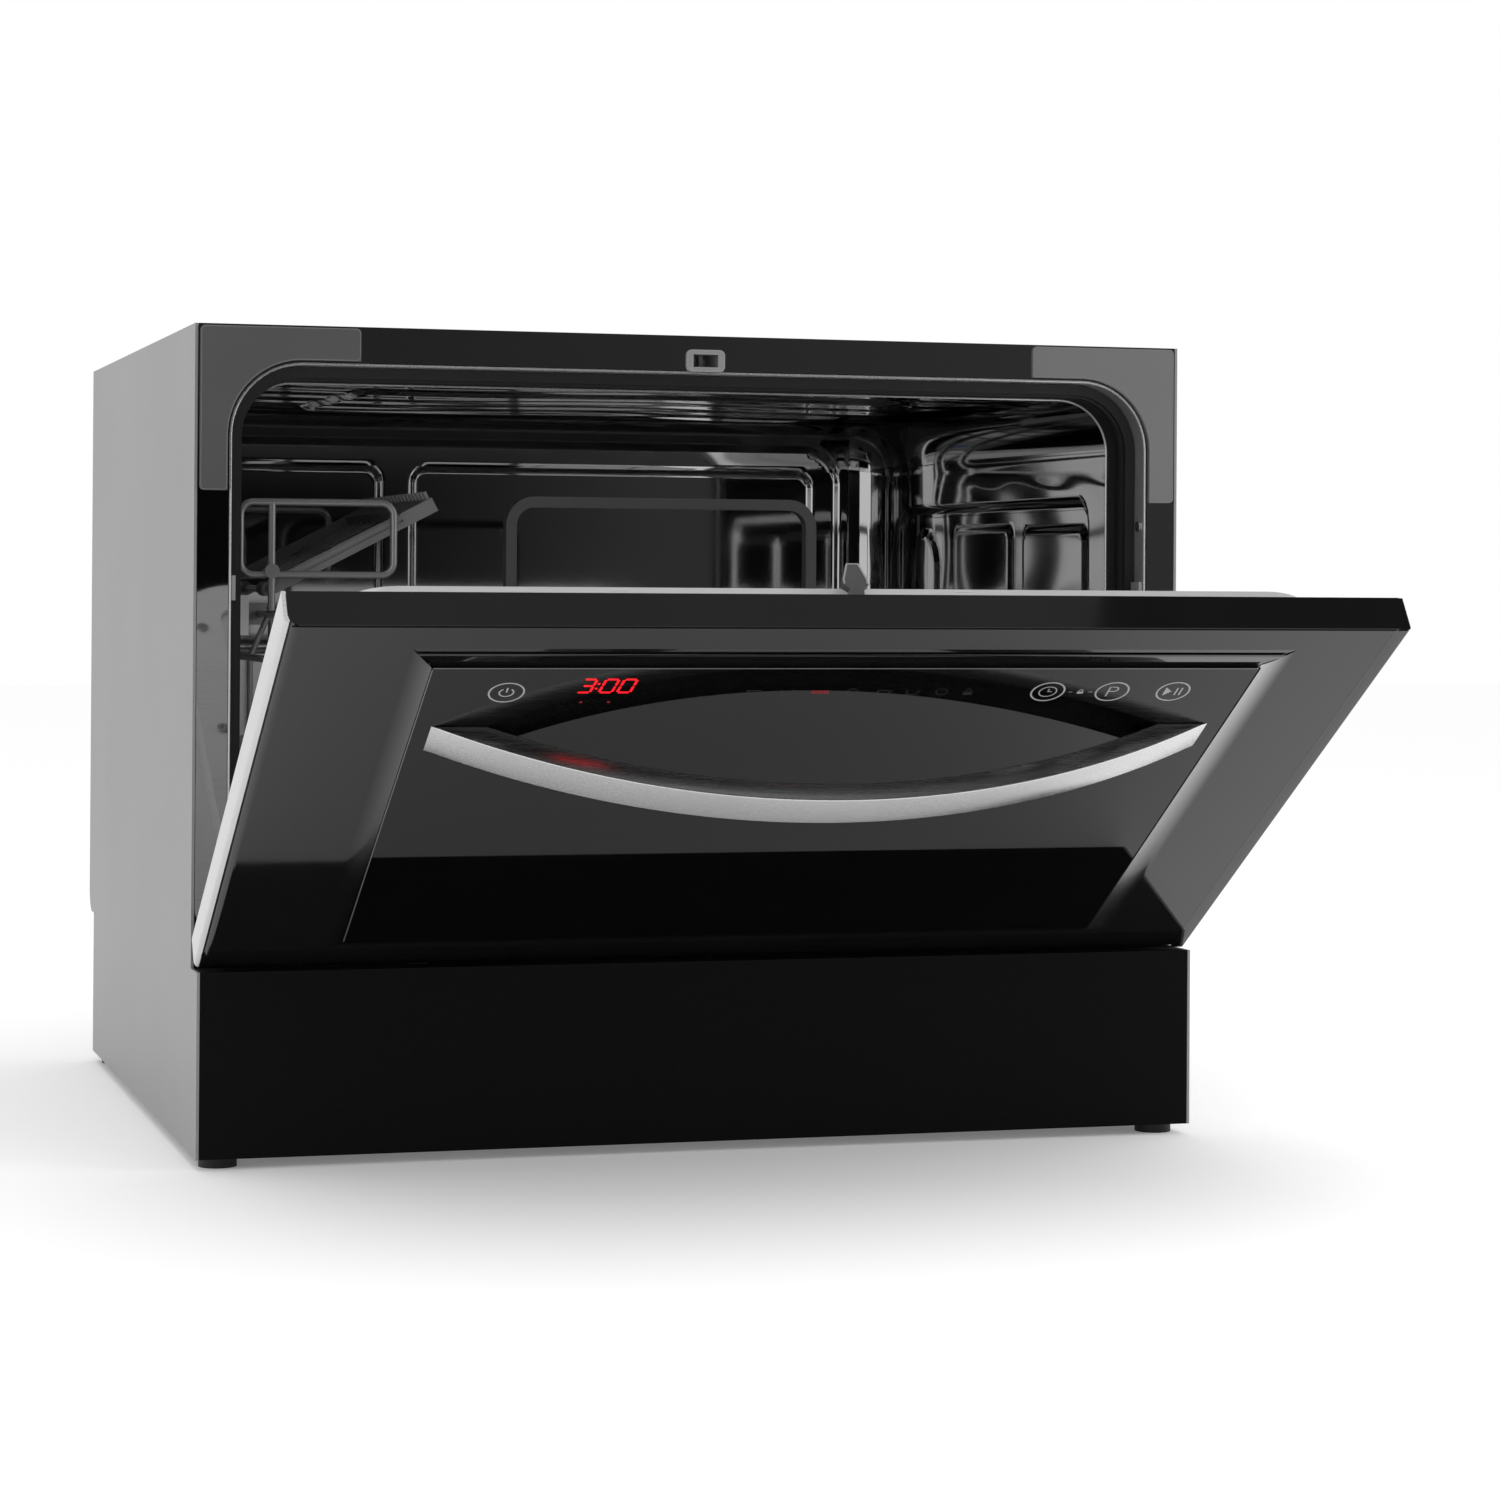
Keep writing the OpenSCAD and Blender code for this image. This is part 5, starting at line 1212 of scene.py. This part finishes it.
    def segment(self, x: float, a: tuple[float, float], b: tuple[float, float]) -> Stroke:
        """One bar of a digit, leaning by the slant: x + slant * height.

        Args:
            x: the digit's left side at its foot.
            a: the bar's start, in parts of the digit's width and height.
            b: its end.

        Returns:
            the stroke.
        """
        w, h = self.digit_w, self.digit_h
        pts = np.array([[x + a[0] * w + self.slant * a[1] * h, self.digit_low + a[1] * h],
                        [x + b[0] * w + self.slant * b[1] * h, self.digit_low + b[1] * h]])
        step = (pts[1] - pts[0]) / np.linalg.norm(pts[1] - pts[0])
        pts += np.array([step, -step]) * self.digit_end
        return pts, self.upright_w if abs(step[1]) > 0.5 else self.level_w, False

    def time(self) -> list[Stroke]:
        """The lit time, in bars."""
        bars = {
            "3": [((0, 1), (1, 1)), ((0.15, 0.5), (1, 0.5)), ((0, 0), (1, 0)),
                  ((1, 0), (1, 0.5)), ((1, 0.5), (1, 1))],
            "0": [((0, 1), (1, 1)), ((0, 0), (1, 0)), ((0, 0), (0, 0.5)), ((0, 0.5), (0, 1)),
                  ((1, 0), (1, 0.5)), ((1, 0.5), (1, 1))]}
        out = []
        for sign, x in self.time_x:
            out += [self.segment(x, a, b) for a, b in bars[sign]]
        for z in (0.3, 0.66):
            x = self.colon_x + self.slant * z * self.digit_h
            s = self.digit_low + z * self.digit_h
            out.append((np.array([[x - 0.6, s], [x + 0.6, s]]), 1.4, False))
        return out

    def build(self) -> None:
        """Makes the pieces of print and light on the glass."""
        s = self.row_s
        lit = [(np.array([[x, s - 1.4], [x, s + 1.4]]), 1.0, False) for x in np.arange(*self.lit_row)]
        low, high = self.dot_s
        lit += [(np.array([[x, low], [x, high]]), 1.4, False) for x in self.dot_x]
        groups = (
            ("key_rings", self.keys(), INK, "grey_satin"),
            ("small_signs", self.small_signs(), INK, "grey_satin"),
            ("faint_signs", self.faint_row(), DIM_INK, "black_glass"),
            ("time_display", self.time(), RED_LIT, "black_glass"),
            ("lit_signs", lit, RED_DIM, "black_glass"))
        for name, paths, finish, slot in groups:
            verts, faces = self.marks(paths)
            piece_from(name, verts, faces, finish, "door", smooth=False)


# Studio

@dataclass
class Studio:
    """Pale floor, soft lamps, dark cards seen only in reflections, and the camera."""

    place: tuple[float, float, float] = (-541.8, -2146.4, 300.6)
    yaw: float = 16.4402
    pitch: float = 0.307
    roll: float = 0.3717
    lens: float = 88.87
    shift_y: float = -0.1205
    floor_colour: str = "#fafafa"
    world_level: float = 0.9
    floor_lift: float = 0.12
    floor_reach: float = 9000.0
    overhead_place: tuple[float, float, float] = (0.0, -500.0, 2500.0)
    overhead_aim: tuple[float, float, float] = (0.0, -100.0, 0.0)
    overhead_size: tuple[float, float] = (3000.0, 2400.0)
    overhead_watts: float = 12.0
    side_place: tuple[float, float, float] = (1500.0, -1100.0, 700.0)
    side_aim: tuple[float, float, float] = (150.0, -350.0, 50.0)
    side_size: tuple[float, float] = (900.0, 600.0)
    side_watts: float = 9.0
    # Cards: x0, x1 and z0, z1 of the front one, x0, x1 and y0, y1 of the upper ones
    front_card: tuple[float, float, float, float] = (-900.0, 1500.0, 0.0, 2300.0)
    front_card_y: float = -2500.0
    black_card: tuple[float, float, float, float] = (1130.0, 4500.0, -3500.0, 400.0)
    black_level: float = 0.004
    grey_card: tuple[float, float, float, float] = (-900.0, 1130.0, -3500.0, -300.0)
    grey_level: float = 0.3
    upper_z: float = 2600.0
    # The front card's level, its spans in metres and the factors at their ends
    card_level: float = 0.045
    card_span: tuple[float, float] = (-0.1, 1.1)
    card_gain: tuple[float, float] = (0.6, 1.25)
    low_span: tuple[float, float] = (0.43, 0.52)
    low_gain: tuple[float, float] = (0.15, 1.0)
    right_span: tuple[float, float] = (0.3, 0.8)
    right_gain: tuple[float, float] = (0.0, 1.0)

    def camera(self) -> None:
        """Sets the camera where the photograph was taken from."""
        yaw, pitch, roll = (math.radians(a) for a in (self.yaw, self.pitch, self.roll))
        look = np.array([math.sin(yaw) * math.cos(pitch), math.cos(yaw) * math.cos(pitch),
                         math.sin(pitch)])
        right = np.array([math.cos(yaw), -math.sin(yaw), 0.0])
        up = np.cross(right, look)
        right, up = (math.cos(roll) * right + math.sin(roll) * up,
                     math.cos(roll) * up - math.sin(roll) * right)
        data = bpy.data.cameras.new("camera")
        data.sensor_width = 36.0
        data.lens = self.lens
        data.shift_y = self.shift_y
        data.clip_end = 100.0
        made = bpy.data.objects.new("camera", data)
        turn = Matrix(np.stack([right, up, -look], 1).tolist()).to_4x4()
        made.matrix_world = Matrix.Translation([v * MM for v in self.place]) @ turn
        bpy.context.scene.collection.objects.link(made)
        bpy.context.scene.camera = made

    def seen_level(self, tree: bpy.types.NodeTree, seen: float, lit: float
                   ) -> bpy.types.NodeSocket:
        """A level for camera, glossy and transmission rays, and another for the rest.

        Args:
            tree: the node tree.
            seen: level that the eye and reflections get.
            lit: level that diffuse surfaces get.

        Returns:
            the socket with the level.
        """
        path = add_node(tree, "ShaderNodeLightPath")
        a = add_node(tree, "ShaderNodeMath", {
            0: path.outputs["Is Camera Ray"], 1: path.outputs["Is Glossy Ray"]},
            operation="MAXIMUM")
        b = add_node(tree, "ShaderNodeMath", {
            0: a.outputs[0], 1: path.outputs["Is Transmission Ray"]}, operation="MAXIMUM")
        level = add_node(tree, "ShaderNodeMapRange", {
            "Value": b.outputs[0], "To Min": lit, "To Max": seen})
        return level.outputs["Result"]

    def world(self) -> None:
        """A white surround that lights at a plain level."""
        made = bpy.data.worlds.new("studio")
        made.use_nodes = True
        tree = made.node_tree
        tree.nodes.clear()
        level = self.seen_level(tree, 1.0, self.world_level)
        shade = add_node(tree, "ShaderNodeBackground", {
            "Color": (1.0, 1.0, 1.0, 1.0), "Strength": level})
        add_node(tree, "ShaderNodeOutputWorld", {"Surface": shade.outputs[0]})
        bpy.context.scene.world = made

    def plate(self, name: str, corners: np.ndarray) -> bpy.types.Object:
        """A flat sheet that isn't part of the object.

        Args:
            name: the sheet's name.
            corners: its four corners.

        Returns:
            the new object.
        """
        mesh = bpy.data.meshes.new(name)
        mesh.from_pydata((np.asarray(corners, float) * MM).tolist(), [], [(0, 1, 2, 3)])
        made = bpy.data.objects.new(name, mesh)
        bpy.context.scene.collection.objects.link(made)
        return made

    def floor(self) -> None:
        """A plain pale floor that keeps the machine's shadow."""
        r = self.floor_reach
        made = self.plate("floor", np.array([[-r, -r, 0], [r, -r, 0], [r, r, 0], [-r, r, 0]]))
        paper = bpy.data.materials.new("studio_paper")
        paper.use_nodes = True
        tree = paper.node_tree
        tree.nodes.clear()
        matte = add_node(tree, "ShaderNodeBsdfDiffuse", {"Color": linear(self.floor_colour)})
        lift = add_node(tree, "ShaderNodeEmission", {
            "Color": (1.0, 1.0, 1.0, 1.0), "Strength": self.seen_level(tree, self.floor_lift, 0.0)})
        both = add_node(tree, "ShaderNodeAddShader", {0: matte.outputs[0], 1: lift.outputs[0]})
        add_node(tree, "ShaderNodeOutputMaterial", {"Surface": both.outputs[0]})
        made.data.materials.append(paper)

    def span(self, tree: bpy.types.NodeTree, along: bpy.types.NodeSocket,
             ends: tuple[float, float], gains: tuple[float, float]) -> bpy.types.NodeSocket:
        """A straight run from one factor to another between two places.

        Args:
            tree: the node tree.
            along: the coordinate.
            ends: where the run starts and ends, in metres.
            gains: the factors there.

        Returns:
            the socket with the factor.
        """
        return add_node(tree, "ShaderNodeMapRange", {
            "Value": along, "From Min": ends[0], "From Max": ends[1], "To Min": gains[0],
            "To Max": gains[1]}).outputs["Result"]

    def graded(self, tree: bpy.types.NodeTree) -> bpy.types.NodeSocket:
        """Level of the front card: darkest low on its left and lightest on its right.

        It is the rise along X times the larger of two runs, one up the card and one along it.

        Args:
            tree: the node tree.

        Returns:
            the socket with the level.
        """
        place = add_node(tree, "ShaderNodeTexCoord").outputs["Object"]
        axis = add_node(tree, "ShaderNodeSeparateXYZ", {"Vector": place})
        gains = tuple(self.card_level * gain for gain in self.card_gain)
        across = self.span(tree, axis.outputs["X"], self.card_span, gains)
        up = self.span(tree, axis.outputs["Z"], self.low_span, self.low_gain)
        right = self.span(tree, axis.outputs["X"], self.right_span, self.right_gain)
        part = add_node(tree, "ShaderNodeMath", {0: up, 1: right}, operation="MAXIMUM")
        return add_node(tree, "ShaderNodeMath", {0: across, 1: part.outputs[0]},
                        operation="MULTIPLY").outputs[0]

    def card(self, name: str, corners: np.ndarray, level: float | None = None) -> None:
        """A dark card that only gloss surfaces see.

        Args:
            name: the card's name.
            corners: its four corners.
            level: its level, graded where it is left out.
        """
        made = self.plate(name, corners)
        felt = bpy.data.materials.new(f"{name}_felt")
        felt.use_nodes = True
        tree = felt.node_tree
        tree.nodes.clear()
        shade = add_node(tree, "ShaderNodeEmission", {
            "Color": (1.0, 1.0, 1.0, 1.0),
            "Strength": self.graded(tree) if level is None else level})
        add_node(tree, "ShaderNodeOutputMaterial", {"Surface": shade.outputs[0]})
        made.data.materials.append(felt)
        made.visible_camera = False
        made.visible_diffuse = False
        made.visible_transmission = False
        made.visible_shadow = False

    def lamp(self, name: str, place: tuple[float, float, float], aim: tuple[float, float, float],
             size: tuple[float, float], watts: float) -> None:
        """A soft rectangular lamp, not seen in gloss.

        Args:
            name: the lamp's name.
            place: its centre.
            aim: the point that it faces.
            size: its width and height.
            watts: its power.
        """
        data = bpy.data.lights.new(name, "AREA")
        data.shape = "RECTANGLE"
        data.size, data.size_y = size[0] * MM, size[1] * MM
        data.energy = watts
        made = bpy.data.objects.new(name, data)
        away = Vector((np.array(place) - np.array(aim)) * MM)
        made.matrix_world = (Matrix.Translation([v * MM for v in place])
                             @ away.to_track_quat("Z", "Y").to_matrix().to_4x4())
        made.visible_glossy = False
        bpy.context.scene.collection.objects.link(made)

    def build(self) -> None:
        """Sets up the whole studio."""
        self.camera()
        self.world()
        self.floor()
        x0, x1, z0, z1 = self.front_card
        y = self.front_card_y
        self.card("front_card", np.array([[x0, y, z0], [x1, y, z0], [x1, y, z1], [x0, y, z1]]))
        z = self.upper_z
        for name, (x0, x1, y0, y1), level in (
                ("upper_card", self.black_card, self.black_level),
                ("upper_grey_card", self.grey_card, self.grey_level)):
            self.card(name, np.array([[x0, y0, z], [x1, y0, z], [x1, y1, z], [x0, y1, z]]), level)
        self.lamp("overhead", self.overhead_place, self.overhead_aim, self.overhead_size,
                  self.overhead_watts)
        self.lamp("side", self.side_place, self.side_aim, self.side_size, self.side_watts)
        scene = bpy.context.scene
        scene.view_settings.view_transform = "Standard"
        LOG.info("studio is set")


def main() -> None:
    """Builds the studio and every sub-assembly in order."""
    logging.basicConfig(level=logging.INFO, format="%(message)s")
    Studio().build()
    for part in (Cabinet(), FrontFrame(), Tub(), WetParts(), Door(), Rack(), TouchMarks()):
        part.build()


if __name__ == "__main__":
    main()
